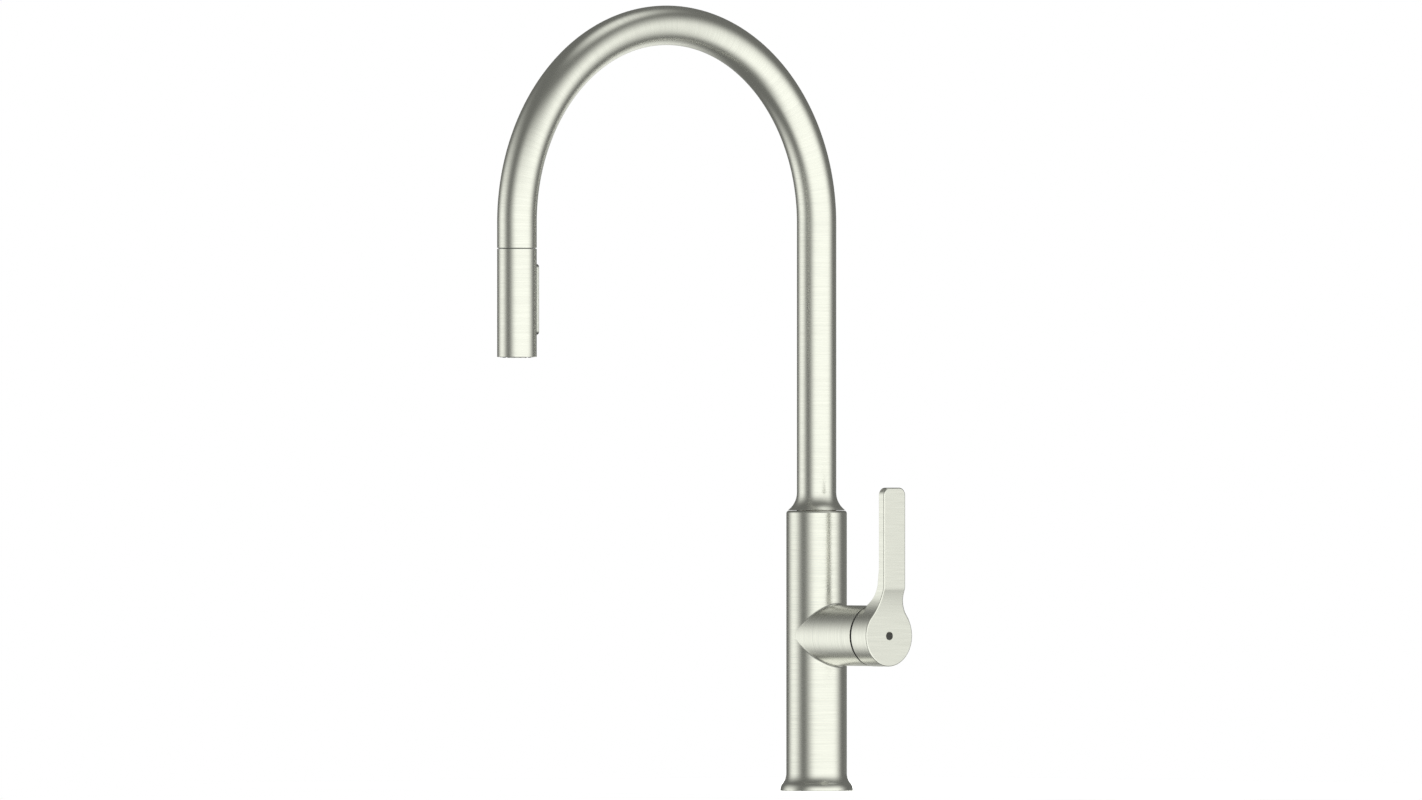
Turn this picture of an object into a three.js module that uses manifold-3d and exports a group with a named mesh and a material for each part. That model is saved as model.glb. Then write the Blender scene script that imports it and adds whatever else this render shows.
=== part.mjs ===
// A pull-down kitchen faucet: a column with a side lever, and a gooseneck spout with a docked spray wand.
// Millimetres, +Z up. The origin is on the column's axis, in the plane of the deck the faucet stands on.
// The spout reaches towards -Y, and the lever is on the +X side.
import * as THREE from "three";
import { mergeVertices } from "three/addons/utils/BufferGeometryUtils.js";
import Module from "manifold-3d";

const wasm = await Module();
wasm.setup();

// ---------------------------------------------------------------- driving dimensions

const GAP = 0.3; // clearance between pieces that lie against each other
const FINE = 32; // sides of the large round pieces, and of those that turn in each other
const MEDIUM = 16;
const COARSE = 12;

const COLUMN = { r: 20, top: 185, edge: 1.3, bore: 17.7 };
const FLARE = { r: 23.9, hollow: 10.2, round: 6.6, foot: 0.6 }; // a hollow arc that turns into a round one
const SEAL = { inner: 19.2, outer: 20.6, top: 1.5 };

const PLATE = { bottom: 1.5, top: 12 }; // the brass plate that closes the column's lower end
const PORT_RING = 12.2; // the ports and stud sockets lie on this radius round the hose passage
const PORT_R = 3.4;
const PORTS = { hot: -42, mixed: 0, cold: 42 }; // degrees round from +X
const STUDS = [135, 225];
const WATER_TUBE = { r: 3, bore: 2.2 };
const HOSE = { r: 6.5, passage: 7.9, coupling: 6.7, couplingBore: 3.5, couplingTop: 24 };
const HOSE_GUIDE = { inner: 7, from: 2, to: 20 };

const SPOUT = { r: 13, bore: 11.6, reach: 260, spring: 375, foot: 152, tail: 3 }; // it bends from spring
const ARCH_R = SPOUT.reach / 2;
const COLLAR = { top: 197, hollow: 14.5, lip: 15 }; // lip: degrees of the arc left out at its thin end
const SPIGOT_R = 15.9; // the brass sleeve on the spout's foot, which turns inside the column
const O_RING = { r: 16.3, thick: 1.05, height: 166.5, grooveDepth: 1, grooveHalf: 2.1 };
const CLIP = { r: 16.8, height: 2.2, opening: 8 };
const UPPER_BUSH = { from: 171, to: 182 };
const LOWER_BUSH = { from: 153, to: 161 };
const SEAM = 357.9; // height of the joint between spout and wand
const SEAM_GAP = 0.6;

const HANDLE_Z = 102.6; // height of the boss and the handle
const BOSS = { r: 20, end: 57.15, bore: 12.6, mouth: 17, shoulder: 46 };
const PIVOT_X = 42; // the lever tips about this point of the boss's axis
const HUB = { r: 20.2, back: 57.86, face: 73.4, chamfer: 0.4, socket: 5.5, socketEnd: 55 };
const STEM = { r: 2.5, inner: 35, outer: 71 };
const LEVER = { half: 9.4, front: 78.85, back: 73.45, top: 97.8, corner: 5, neck: 23, foot: 13.4 };
const LEVER_STEP = { from: 13.3, to: 40.5 }; // between these heights the front face steps out
const LEVER_SWEEP = { r: 28.3, end: 42 }; // the arc of its back, and where that ends

const WAND = { r: 13, bore: 11.4, rim: 286.6, core: 9.6, channel: 5, edge: 0.3, rimEdge: 0.6 };
const WAND_TOP = SEAM - SEAM_GAP / 2;
const CORE = { from: 297, shoulder: 5 };
const NECK = { r: 9.5, top: 374, bore: 7.9, floor: 362 }; // the wand's neck, which slips into the spout
const DOCK = { bushTop: 372, magnetTop: 376.5 };
const FERRULE = { r: 7, bore: 3, from: 378.3, to: 386.5 }; // the crimped sleeve on the hose's end
const BUTTON = { half: 5.25, from: 301.2, to: 347.6, out: 14.6, inner: 11.6, corner: 2, gap: 0.6 };
const BUTTON_MIDDLE = (BUTTON.to + BUTTON.from) / 2;
const BUTTON_PIN = { y: 7.6, r: 0.8, half: 4.4 };
const LUG = { width: 3.6, from: 6, height: 4.4 }; // the button's lug, which the pin goes through
const NOTCH = { width: 4.2, from: 5.7, height: 8 }; // the lug's place in the core
const SPOOL = { bore: 2, r: 4.4, from: 314, to: 334 };
const CHECK_VALVE = { bore: 1.5, from: 340, to: 352 };
const NOZZLE = { count: 14, ring: 8.8, r: 0.7, tip: 285.9 };
const FACE = { inner: 6.6, from: 287.3, to: 289.3 };
const MAT = { from: 289.6, to: 291 };
const AERATOR = { inner: 1.5, outer: 6.3, from: 287.5, to: 296.5 };

// ---------------------------------------------------------------- colours and finishes

const metal = (color, roughness) => new THREE.MeshStandardMaterial({ color, roughness, metalness: 1 });
const dull = (color, roughness) => new THREE.MeshStandardMaterial({ color, roughness, metalness: 0 });
const NICKEL = metal(0xd6d4c4, 0.28);
const BRASS = metal(0xc2a45c, 0.35);
const STEEL = metal(0xb8babc, 0.25);
const COPPER = metal(0xb87352, 0.35);
const MAGNET = metal(0x6b6d70, 0.45);
const CERAMIC = dull(0xeceae4, 0.2);
const WHITE_PLASTIC = dull(0xdcdcd6, 0.5);
const GREY_PLASTIC = dull(0x8d908f, 0.45);
const PALE_PLASTIC = dull(0xc9cbc0, 0.35);
const BLACK_RUBBER = dull(0x1b1c1d, 0.8);
const BRAID = dull(0x707376, 0.7);
const DARK_INLAY = dull(0x2c2d2b, 0.4);

// ---------------------------------------------------------------- shapes

const at = (r, h) => new THREE.Vector2(r, h);
const radians = THREE.MathUtils.degToRad;
const polar = (r, degrees) => [r * Math.cos(radians(degrees)), r * Math.sin(radians(degrees))];

// The height above its centre at which a circle of radius r is `side` wide.
const rise = (r, side) => Math.sqrt(r * r - side * side);

// Points on an arc round (centreR, centreH), from one angle to another in radians.
function arc(centreR, centreH, radius, from, to, steps) {
  return Array.from({ length: steps + 1 }, (_, i) => {
    const angle = from + ((to - from) * i) / steps;
    return at(centreR + radius * Math.cos(angle), centreH + radius * Math.sin(angle));
  });
}

// A body of revolution about Z. The profile either begins and ends on the axis or is a closed ring section.
function spin(profile, sides = COARSE) {
  const points = THREE.ShapeUtils.area(profile) < 0 ? profile.slice().reverse() : profile.slice();
  if (points[0].x > 0 || points[points.length - 1].x > 0) points.push(points[0].clone());
  return new THREE.LatheGeometry(points, sides).rotateX(Math.PI / 2);
}

const rod = (r, from, to, sides) => spin([at(0, from), at(r, from), at(r, to), at(0, to)], sides);

function ring(inner, outer, from, to, sides) {
  return spin([at(inner, from), at(outer, from), at(outer, to), at(inner, to)], sides);
}

const alongX = (geometry) => geometry.rotateY(Math.PI / 2);
const alongY = (geometry) => geometry.rotateX(-Math.PI / 2);

function block(size, centre) {
  return new THREE.BoxGeometry(...size).translate(...centre);
}

// A closed skin over flat sections, each a list of points counter-clockwise seen from above.
function loft(sections) {
  const sides = sections[0].length;
  const last = (sections.length - 1) * sides;
  const faces = [];
  for (let level = 0; level < sections.length - 1; level++) {
    for (let i = 0; i < sides; i++) {
      const a = level * sides + i;
      const b = level * sides + ((i + 1) % sides);
      faces.push(a, b, b + sides, a, b + sides, a + sides);
    }
  }
  for (let i = 1; i < sides - 1; i++) {
    faces.push(0, i + 1, i, last, last + i, last + i + 1);
  }
  const geometry = new THREE.BufferGeometry().setFromPoints(sections.flat());
  geometry.setIndex(faces);
  geometry.computeVertexNormals();
  return geometry;
}

// ---------------------------------------------------------------- joining and cutting

function solid(geometry) {
  const bare = geometry.clone();
  bare.deleteAttribute("normal");
  bare.deleteAttribute("uv");
  const merged = mergeVertices(bare, 1e-3);
  const triVerts = new Uint32Array(merged.index.array);
  const vertProperties = merged.attributes.position.array;
  return new wasm.Manifold(new wasm.Mesh({ numProp: 3, vertProperties, triVerts }));
}

function carve(kept, ...cutters) {
  const made = cutters.reduce((left, cutter) => left.subtract(solid(cutter)), kept);
  const { vertProperties, triVerts } = made.getMesh();
  const geometry = new THREE.BufferGeometry();
  geometry.setAttribute("position", new THREE.BufferAttribute(vertProperties, 3));
  geometry.setIndex(new THREE.BufferAttribute(triVerts, 1));
  geometry.computeVertexNormals();
  return geometry;
}

function join(first, ...others) {
  return others.reduce((left, other) => left.add(solid(other)), solid(first));
}

// ---------------------------------------------------------------- the assembly

const faucet = new THREE.Group();
const handleAxis = new THREE.Group(); // X runs along the boss, the height is counted from its axis
handleAxis.position.z = HANDLE_Z;
const wand = new THREE.Group(); // on the axis of the spout's free leg
wand.position.y = -SPOUT.reach;
faucet.add(handleAxis, wand);

function add(group, name, material, geometry) {
  const mesh = new THREE.Mesh(geometry, material);
  mesh.name = name;
  group.add(mesh);
}

// ---------------------------------------------------------------- column and base

// The foot spreads from the column in a hollow arc, and a round arc that touches it ends at the deck.
function columnProfile() {
  const hollowR = COLUMN.r + FLARE.hollow;
  const roundR = FLARE.r - FLARE.round;
  const height = rise(FLARE.hollow + FLARE.round, hollowR - roundR);
  const slope = Math.atan2(height, hollowR - roundR);
  return [
    at(0, 0),
    at(FLARE.r - GAP, 0),
    at(FLARE.r, FLARE.foot),
    ...arc(roundR, FLARE.foot, FLARE.round, 0, slope, 5).slice(1),
    ...arc(hollowR, FLARE.foot + height, FLARE.hollow, Math.PI + slope, Math.PI, 5).slice(1),
    ...arc(COLUMN.r - COLUMN.edge, COLUMN.top - COLUMN.edge, COLUMN.edge, 0, Math.PI / 2, 3),
    at(0, COLUMN.top),
  ];
}

// The end of the boss is part of a ball round the lever's pivot, so that the hub can tip over it.
const BALL_R = Math.hypot(BOSS.end - PIVOT_X, BOSS.r);
const ballX = (radius, side) => PIVOT_X + rise(radius, side);

function facesOfBall(radius, fromSide, toSide, steps) {
  return Array.from({ length: steps + 1 }, (_, i) => {
    const side = fromSide + ((toSide - fromSide) * i) / steps;
    return at(side, ballX(radius, side));
  });
}

function faucetBody() {
  const inside = COLUMN.r / 2;
  const bossEnd = facesOfBall(BALL_R, BOSS.r, BOSS.mouth, 2);
  const mouthX = ballX(BALL_R, BOSS.mouth);
  const boss = spin([at(0, inside), at(BOSS.r, inside), ...bossEnd, at(0, mouthX)], FINE);
  const bossBore = spin(
    [
      at(0, 0),
      at(BOSS.bore, 0),
      at(BOSS.bore, BOSS.shoulder),
      at(BOSS.mouth, BOSS.shoulder),
      at(BOSS.mouth, mouthX + 1),
      at(0, mouthX + 1),
    ],
    FINE,
  );
  const outside = join(spin(columnProfile(), FINE), alongX(boss).translate(0, 0, HANDLE_Z));
  const sealGroove = ring(SEAL.inner - GAP, SEAL.outer + GAP, -1, SEAL.top + GAP, FINE);
  const bore = rod(COLUMN.bore, -1, COLUMN.top + 1, FINE);
  return carve(outside, bore, alongX(bossBore).translate(0, 0, HANDLE_Z), sealGroove);
}

// The plate has a port for each water line, two sockets for the studs that pull the faucet down, and the
// passage of the spray hose in the middle.
function basePlate() {
  const plate = join(rod(COLUMN.bore - GAP, PLATE.bottom, PLATE.top, FINE));
  const holes = [...Object.values(PORTS), ...STUDS].map((angle) => {
    return rod(PORT_R, PLATE.bottom - 1, PLATE.top + 1).translate(...polar(PORT_RING, angle), 0);
  });
  return carve(plate, rod(HOSE.passage, PLATE.bottom - 1, PLATE.top + 1, MEDIUM), ...holes);
}

const VALVE_FLAT = 10.8; // how far the valve block's flat underside is below the boss's axis
const VALVE_BLOCK = { r: BOSS.bore - GAP, from: 7.5, to: 20 };
const INLET = { y: 6.4, z: -4.5, r: 2.2 }; // where the water enters the cartridge, seen from its foot
const OUTLET = { y: 0, z: 6.5, r: 2.2 };

// Three drillings come up from the water tubes and meet the three that run along the boss to the cartridge.
function valveBlock() {
  const { r, from, to } = VALVE_BLOCK;
  const blank = join(alongX(rod(r, from, to, MEDIUM)));
  const underside = block([2 * to, 4 * r, r], [to, 0, -VALVE_FLAT - r / 2]);
  const drillings = Object.entries(PORTS).map(([water, angle]) => {
    const top = water === "mixed" ? OUTLET.z + OUTLET.r / 2 : INLET.z + INLET.r / 2;
    return rod(WATER_TUBE.bore, -r, top, 8).translate(...polar(PORT_RING, angle), 0);
  });
  return carve(blank, underside, ...drillings, ...waterHoles(from + 1, to + 1));
}

function waterHoles(from, to) {
  return [INLET, { ...INLET, y: -INLET.y }, OUTLET].map(({ y, z, r }) => {
    return alongX(rod(r, from, to, 8)).translate(0, y, z);
  });
}

function makeColumn() {
  add(faucet, "faucet_body", NICKEL, faucetBody());
  add(faucet, "base_seal", BLACK_RUBBER, ring(SEAL.inner, SEAL.outer, 0.1, SEAL.top, FINE));
  add(faucet, "base_plate", BRASS, basePlate());
  add(
    faucet,
    "hose_guide",
    WHITE_PLASTIC,
    spin([
      at(HOSE_GUIDE.inner, HOSE_GUIDE.from),
      at(HOSE.passage - GAP, HOSE_GUIDE.from),
      at(HOSE.passage - GAP, PLATE.top + GAP),
      at(HOSE.passage, PLATE.top + GAP),
      at(HOSE.passage, HOSE_GUIDE.to),
      at(HOSE_GUIDE.inner, HOSE_GUIDE.to),
    ]),
  );
  const tubeTop = HANDLE_Z - VALVE_FLAT - GAP;
  for (const [water, angle] of Object.entries(PORTS)) {
    const tube = ring(WATER_TUBE.bore, WATER_TUBE.r, PLATE.top + GAP, tubeTop, 8);
    add(faucet, `${water}_water_tube`, COPPER, tube.translate(...polar(PORT_RING, angle), 0));
  }
  add(handleAxis, "valve_block", BRASS, valveBlock());
}

// ---------------------------------------------------------------- cartridge, inside the boss

const CARTRIDGE = { r: 12.2, bore: 10.2, flange: 16.6, neck: 7.2, from: 22.3, to: 50, cap: 2.5 };
const DISC = { r: 9.6, moving: 7.4, from: 26.3, to: 29.3, top: 33.2, pocket: 5.4, pocketDepth: 1.5 };
const CARRIER = { thick: 4, socket: 3.4, socketFloor: 0.6 };
const TURRET = { from: 38.2, slotLow: -6.1, slotHigh: 4.8 };
const PIVOT_PIN = { r: 1, half: 9.2 };
const NUT = { inner: 13, end: 55.5, slotWidth: 3, slotDepth: 1 };
const BONNET = { inner: 13.5, from: 55.8, lip: 15.6 };

function disc(r, from, to) {
  return carve(join(alongX(rod(r, from, to, MEDIUM))), ...waterHoles(from - 1, to + 1));
}

// The moving disc has a pocket on its inner face, where hot and cold water meet.
function movingDisc() {
  const { moving, to, top } = DISC;
  const pocket = alongX(rod(DISC.pocket, to, to + GAP + DISC.pocketDepth));
  return carve(join(alongX(rod(moving, to + GAP, top, MEDIUM))), pocket);
}

function discCarrier() {
  const from = DISC.top + GAP;
  const to = from + CARRIER.thick;
  const socket = alongX(rod(CARRIER.socket, from + CARRIER.socketFloor, to + 1));
  return carve(join(alongX(rod(DISC.moving, from, to, MEDIUM))), socket);
}

function housing() {
  const lip = BOSS.shoulder + GAP;
  return alongX(
    spin(
      [
        at(CARTRIDGE.bore, CARTRIDGE.from),
        at(CARTRIDGE.r, CARTRIDGE.from),
        at(CARTRIDGE.r, lip),
        at(CARTRIDGE.flange, lip),
        at(CARTRIDGE.flange, CARTRIDGE.to),
        at(CARTRIDGE.neck, CARTRIDGE.to),
        at(CARTRIDGE.neck, CARTRIDGE.to - CARTRIDGE.cap),
        at(CARTRIDGE.bore, CARTRIDGE.to - CARTRIDGE.cap),
      ],
      MEDIUM,
    ),
  );
}

// The turret turns with the lever and has a slot in which the stem tips about its pin.
function turret() {
  const shoulder = CARTRIDGE.to - CARTRIDGE.cap - GAP;
  const neckEnd = CARTRIDGE.to - GAP;
  const { from, slotLow, slotHigh } = TURRET;
  const blank = join(
    alongX(
      spin(
        [
          at(0, from),
          at(CARTRIDGE.bore - GAP, from),
          at(CARTRIDGE.bore - GAP, shoulder),
          at(CARTRIDGE.neck - GAP, shoulder),
          at(CARTRIDGE.neck - GAP, neckEnd),
          at(0, neckEnd),
        ],
        MEDIUM,
      ),
    ),
  );
  const through = 2 * (neckEnd - from);
  const slotMiddle = [PIVOT_X, 0, (slotHigh + slotLow) / 2];
  const slot = block([through, 2 * (STEM.r + GAP), slotHigh - slotLow], slotMiddle);
  const pinHole = alongY(rod(PIVOT_PIN.r + GAP, -CARTRIDGE.r, CARTRIDGE.r)).translate(PIVOT_X, 0, 0);
  return carve(blank, slot, pinHole);
}

// It closes the boss's mouth, and shows as a dark line in the seam between boss and hub.
function bonnetRing() {
  const outer = BOSS.mouth - GAP;
  const foot = [at(BONNET.inner, BONNET.from), at(outer, BONNET.from)];
  return alongX(spin([...foot, ...facesOfBall(BALL_R, outer, BONNET.lip, 1)], FINE));
}

function makeCartridge() {
  const { from, to, bore, r } = CARTRIDGE;
  add(handleAxis, "cartridge_seal", BLACK_RUBBER, disc(r, VALVE_BLOCK.to + GAP, from - GAP));
  add(handleAxis, "cartridge_base", WHITE_PLASTIC, disc(bore - GAP, from, DISC.from - GAP));
  add(handleAxis, "fixed_ceramic_disc", CERAMIC, disc(DISC.r, DISC.from, DISC.to));
  add(handleAxis, "moving_ceramic_disc", CERAMIC, movingDisc());
  add(handleAxis, "disc_carrier", WHITE_PLASTIC, discCarrier());
  add(handleAxis, "cartridge_housing", WHITE_PLASTIC, housing());
  add(handleAxis, "cartridge_turret", GREY_PLASTIC, turret());
  const pin = alongY(rod(PIVOT_PIN.r, -PIVOT_PIN.half, PIVOT_PIN.half, 8)).translate(PIVOT_X, 0, 0);
  add(handleAxis, "turret_pin", STEEL, pin);
  const nut = alongX(ring(NUT.inner, BOSS.mouth - GAP, to + GAP, NUT.end, MEDIUM));
  const wrenchSlot = block([2 * NUT.slotDepth, 2 * BOSS.mouth, NUT.slotWidth], [NUT.end, 0, 0]);
  add(handleAxis, "cartridge_nut", BRASS, carve(solid(nut), wrenchSlot));
  add(handleAxis, "bonnet_ring", BLACK_RUBBER, bonnetRing());
}

// ---------------------------------------------------------------- lever handle

const SET_SCREW = { x: 69.3, r: 2, hole: 2.3, inner: 3.1, outer: 9.5 };
const PLUG = { from: 17.2, to: 20.1 }; // in the set screw's hole, just inside the hub's rim
const INLAY = { r: 2.6, depth: 0.6 };

// Half the lever's width at a height above the axis. The neck's hollow arc touches hub and straight bar.
function halfWidth(height) {
  const centreY = LEVER.half + LEVER.neck;
  const centreZ = rise(HUB.r + LEVER.neck, centreY);
  if (height < centreZ) return centreY - rise(LEVER.neck, centreZ - height);
  const intoCorner = height - (LEVER.top - LEVER.corner);
  if (intoCorner <= 0) return LEVER.half;
  return LEVER.half - LEVER.corner + rise(LEVER.corner, intoCorner);
}

function leverFront(height) {
  const step = THREE.MathUtils.smoothstep(height, LEVER_STEP.from, LEVER_STEP.to);
  return HUB.face + (LEVER.front - HUB.face) * step;
}

function leverBack(height) {
  const { r, end } = LEVER_SWEEP;
  if (height >= end) return LEVER.back;
  const lowest = HUB.r; // below the top of the hub the back stays inside it
  return LEVER.back - r + rise(r, end - Math.max(height, lowest));
}

function leverBar() {
  const { top, foot } = LEVER;
  const neckSteps = 11;
  const cornerSteps = 4;
  const neck = Array.from({ length: neckSteps + 1 }, (_, i) => {
    return foot + ((LEVER_SWEEP.end - foot) * i) / neckSteps;
  });
  const corner = Array.from({ length: cornerSteps + 1 }, (_, i) => {
    return top - LEVER.corner * (1 - Math.sin(radians((90 * i) / cornerSteps)));
  });
  return loft(
    [...neck, ...corner].map((height) => {
      const half = halfWidth(height);
      const front = leverFront(height);
      const back = leverBack(height);
      return [
        new THREE.Vector3(back, -half, height),
        new THREE.Vector3(front, -half, height),
        new THREE.Vector3(front, half, height),
        new THREE.Vector3(back, half, height),
      ];
    }),
  );
}

// The hub's hollow back follows the ball on the boss with a gap, and its socket holds the cartridge's stem.
function leverHandle() {
  const hollowR = Math.hypot(HUB.back - PIVOT_X, HUB.r);
  const stemBore = STEM.r + GAP;
  const hub = spin(
    [
      at(0, STEM.outer + GAP),
      at(stemBore, STEM.outer + GAP),
      at(stemBore, HUB.socketEnd),
      at(HUB.socket, HUB.socketEnd),
      ...facesOfBall(hollowR, HUB.socket, HUB.r, 4),
      at(HUB.r, HUB.face - HUB.chamfer),
      at(HUB.r - HUB.chamfer, HUB.face),
      at(INLAY.r + GAP, HUB.face),
      at(INLAY.r + GAP, HUB.face - INLAY.depth - GAP),
      at(0, HUB.face - INLAY.depth - GAP),
    ],
    FINE,
  );
  const screwHole = rod(SET_SCREW.hole, -HUB.r - 1, 0).translate(SET_SCREW.x, 0, 0);
  return carve(join(alongX(hub), leverBar()), screwHole);
}

function makeHandle() {
  const { x, r, inner, outer } = SET_SCREW;
  add(handleAxis, "lever_handle", NICKEL, leverHandle());
  const pinHole = alongY(rod(PIVOT_PIN.r + GAP, -STEM.r - 1, STEM.r + 1, 8)).translate(PIVOT_X, 0, 0);
  const stem = alongX(rod(STEM.r, STEM.inner, STEM.outer));
  add(handleAxis, "cartridge_stem", STEEL, carve(solid(stem), pinHole));
  add(handleAxis, "handle_set_screw", STEEL, rod(r, -outer, -inner).translate(x, 0, 0));
  add(handleAxis, "screw_hole_plug", GREY_PLASTIC, rod(r, -PLUG.to, -PLUG.from).translate(x, 0, 0));
  add(handleAxis, "index_inlay", DARK_INLAY, alongX(rod(INLAY.r, HUB.face - INLAY.depth, HUB.face)));
}

// ---------------------------------------------------------------- spout

// The spout's centre line between two distances along it, counted from the deck: up the column's axis, over
// the arch and down the free leg.
const ARCH_END = SPOUT.spring + Math.PI * ARCH_R;

class Gooseneck extends THREE.Curve {
  constructor(from, to) {
    super();
    this.from = from;
    this.to = to;
  }

  getPoint(t) {
    const distance = this.from + t * (this.to - this.from);
    if (distance < SPOUT.spring) return new THREE.Vector3(0, 0, distance);
    if (distance > ARCH_END) return new THREE.Vector3(0, -SPOUT.reach, SPOUT.spring + ARCH_END - distance);
    const angle = (distance - SPOUT.spring) / ARCH_R;
    const y = ARCH_R * (Math.cos(angle) - 1);
    return new THREE.Vector3(0, y, SPOUT.spring + ARCH_R * Math.sin(angle));
  }
}

function sweep(outer, inner, path, sides, steps) {
  const section = new THREE.Shape().absarc(0, 0, outer, 0, 2 * Math.PI);
  if (inner > 0) section.holes.push(new THREE.Path().absarc(0, 0, inner, 0, 2 * Math.PI));
  return new THREE.ExtrudeGeometry(section, { steps, curveSegments: sides / 2, extrudePath: path });
}

// The collar's hollow side runs from the spout's wall out to the top of the column.
function collar() {
  const centreR = SPOUT.r + COLLAR.hollow;
  const foot = COLUMN.top + GAP;
  const from = Math.PI + Math.asin((COLLAR.top - foot) / COLLAR.hollow);
  const lip = Math.PI + radians(COLLAR.lip);
  const side = arc(centreR, COLLAR.top, COLLAR.hollow, from, lip, 5);
  const inner = SPOUT.r + GAP;
  return spin([at(inner, foot), ...side, at(inner, side[side.length - 1].y)], FINE);
}

function spigot() {
  const groove = SPIGOT_R - O_RING.grooveDepth;
  const grooveFoot = O_RING.height - O_RING.grooveHalf;
  const grooveTop = O_RING.height + O_RING.grooveHalf;
  return spin(
    [
      at(SPOUT.r + GAP, SPOUT.foot),
      at(SPIGOT_R, SPOUT.foot),
      at(SPIGOT_R, grooveFoot),
      at(groove, grooveFoot),
      at(groove, grooveTop),
      at(SPIGOT_R, grooveTop),
      at(SPIGOT_R, COLUMN.top),
      at(SPOUT.r + GAP, COLUMN.top),
    ],
    FINE,
  );
}

// An open spring ring under the spigot, which keeps the spout from being lifted out.
function clip() {
  const { r, height, opening } = CLIP;
  const whole = solid(ring(SPOUT.r + GAP, r, SPOUT.foot - height, SPOUT.foot - GAP, MEDIUM));
  return carve(whole, block([opening, opening, opening], [0, r, SPOUT.foot]));
}

function makeSpout() {
  const wandEnd = SEAM + SEAM_GAP / 2;
  const tubePath = new Gooseneck(SPOUT.foot - SPOUT.tail, ARCH_END + SPOUT.spring - wandEnd);
  add(faucet, "spout_tube", NICKEL, sweep(SPOUT.r, SPOUT.bore, tubePath, MEDIUM, 46));
  add(faucet, "spout_collar", NICKEL, collar());
  add(faucet, "spout_spigot", BRASS, spigot());
  add(faucet, "spout_clip", STEEL, clip());
  const bush = ({ from, to }) => ring(SPIGOT_R + GAP, COLUMN.bore - GAP, from, to, FINE);
  add(faucet, "upper_swivel_bush", WHITE_PLASTIC, bush(UPPER_BUSH));
  add(faucet, "lower_swivel_bush", WHITE_PLASTIC, bush(LOWER_BUSH));
  const ringSection = arc(O_RING.r, O_RING.height, O_RING.thick, 0, radians(300), 5); // a hexagon
  add(faucet, "spout_o_ring", BLACK_RUBBER, spin(ringSection, MEDIUM));
  const inDock = (from, to) => ring(NECK.r + GAP, SPOUT.bore - GAP, from, to, MEDIUM);
  add(wand, "dock_bush", GREY_PLASTIC, inDock(wandEnd + GAP, DOCK.bushTop));
  add(wand, "dock_magnet", MAGNET, inDock(DOCK.bushTop + GAP, DOCK.magnetTop));
}

// The spray hose runs inside the spout and the column, from the wand's ferrule to its coupling at the base.
function makeHose() {
  const { coupling, couplingBore, couplingTop } = HOSE;
  const hosePath = new Gooseneck(couplingTop + GAP, ARCH_END - (FERRULE.to + 2 * GAP - SPOUT.spring));
  add(faucet, "spray_hose", BRAID, sweep(HOSE.r, 0, hosePath, 8, 40));
  add(faucet, "hose_coupling", BRASS, ring(couplingBore, coupling, HOSE_GUIDE.from, couplingTop));
}

// ---------------------------------------------------------------- spray wand

function sprayShell() {
  const inner = WAND.bore;
  const shell = spin(
    [
      at(inner + WAND.rimEdge, WAND.rim),
      at(WAND.r - WAND.edge, WAND.rim),
      at(WAND.r, WAND.rim + WAND.edge),
      at(WAND.r, WAND_TOP),
      at(inner, WAND_TOP),
      at(inner, WAND.rim + WAND.rimEdge),
    ],
    FINE,
  );
  const height = BUTTON.to - BUTTON.from + 2 * BUTTON.gap;
  const window = block([2 * (BUTTON.half + GAP), WAND.r, height], [0, WAND.r, BUTTON_MIDDLE]);
  return carve(solid(shell), window);
}

// The plastic core carries the water down the wand. Its neck slips into the spout.
function sprayCore() {
  const shoulder = WAND_TOP - CORE.shoulder;
  const core = spin(
    [
      at(WAND.channel, CORE.from),
      at(WAND.core, CORE.from),
      at(WAND.core, shoulder),
      at(WAND.bore - GAP, shoulder),
      at(WAND.bore - GAP, WAND_TOP),
      at(NECK.r, WAND_TOP),
      at(NECK.r, NECK.top),
      at(NECK.bore, NECK.top),
      at(NECK.bore, NECK.floor),
      at(WAND.channel, NECK.floor),
    ],
    MEDIUM,
  );
  const { width, from, height } = NOTCH;
  const notch = block([width, WAND.core, height], [0, from + WAND.core / 2, BUTTON_MIDDLE]);
  const pinHole = buttonPinHole().translate(0, 0, BUTTON_MIDDLE);
  return carve(solid(core), notch, pinHole);
}

function buttonPinHole() {
  const { r, half, y } = BUTTON_PIN;
  return alongX(rod(r + GAP, -half - GAP, half + GAP, 8)).translate(0, y, 0);
}

// A rocker: pressing its upper or lower end tips it about the pin in its lug.
function sprayButton() {
  const { half, corner, from, to, out, inner } = BUTTON;
  const long = (to - from) / 2;
  const outline = new THREE.Shape();
  outline.absarc(half - corner, long - corner, corner, 0, Math.PI / 2);
  outline.absarc(corner - half, long - corner, corner, Math.PI / 2, Math.PI);
  outline.absarc(corner - half, corner - long, corner, Math.PI, 1.5 * Math.PI);
  outline.absarc(half - corner, corner - long, corner, 1.5 * Math.PI, 2 * Math.PI);
  const depth = out - inner;
  const pad = new THREE.ExtrudeGeometry(outline, { depth, curveSegments: 2, bevelEnabled: false });
  const lugEnd = (inner + out) / 2; // inside the pad
  const lug = block([LUG.width, lugEnd - LUG.from, LUG.height], [0, (lugEnd + LUG.from) / 2, 0]);
  return carve(join(pad.rotateX(-Math.PI / 2).translate(0, inner, 0), lug), buttonPinHole());
}

function nozzlePlaces() {
  return Array.from({ length: NOZZLE.count }, (_, i) => polar(NOZZLE.ring, (360 * i) / NOZZLE.count));
}

function sprayFace() {
  const { inner, from, to } = FACE;
  const plate = ring(inner, WAND.bore - GAP, from, to, MEDIUM);
  const holes = nozzlePlaces().map(([x, y]) => rod(NOZZLE.r + GAP, from - 1, to + 1, 6).translate(x, y, 0));
  return carve(solid(plate), ...holes);
}

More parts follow.
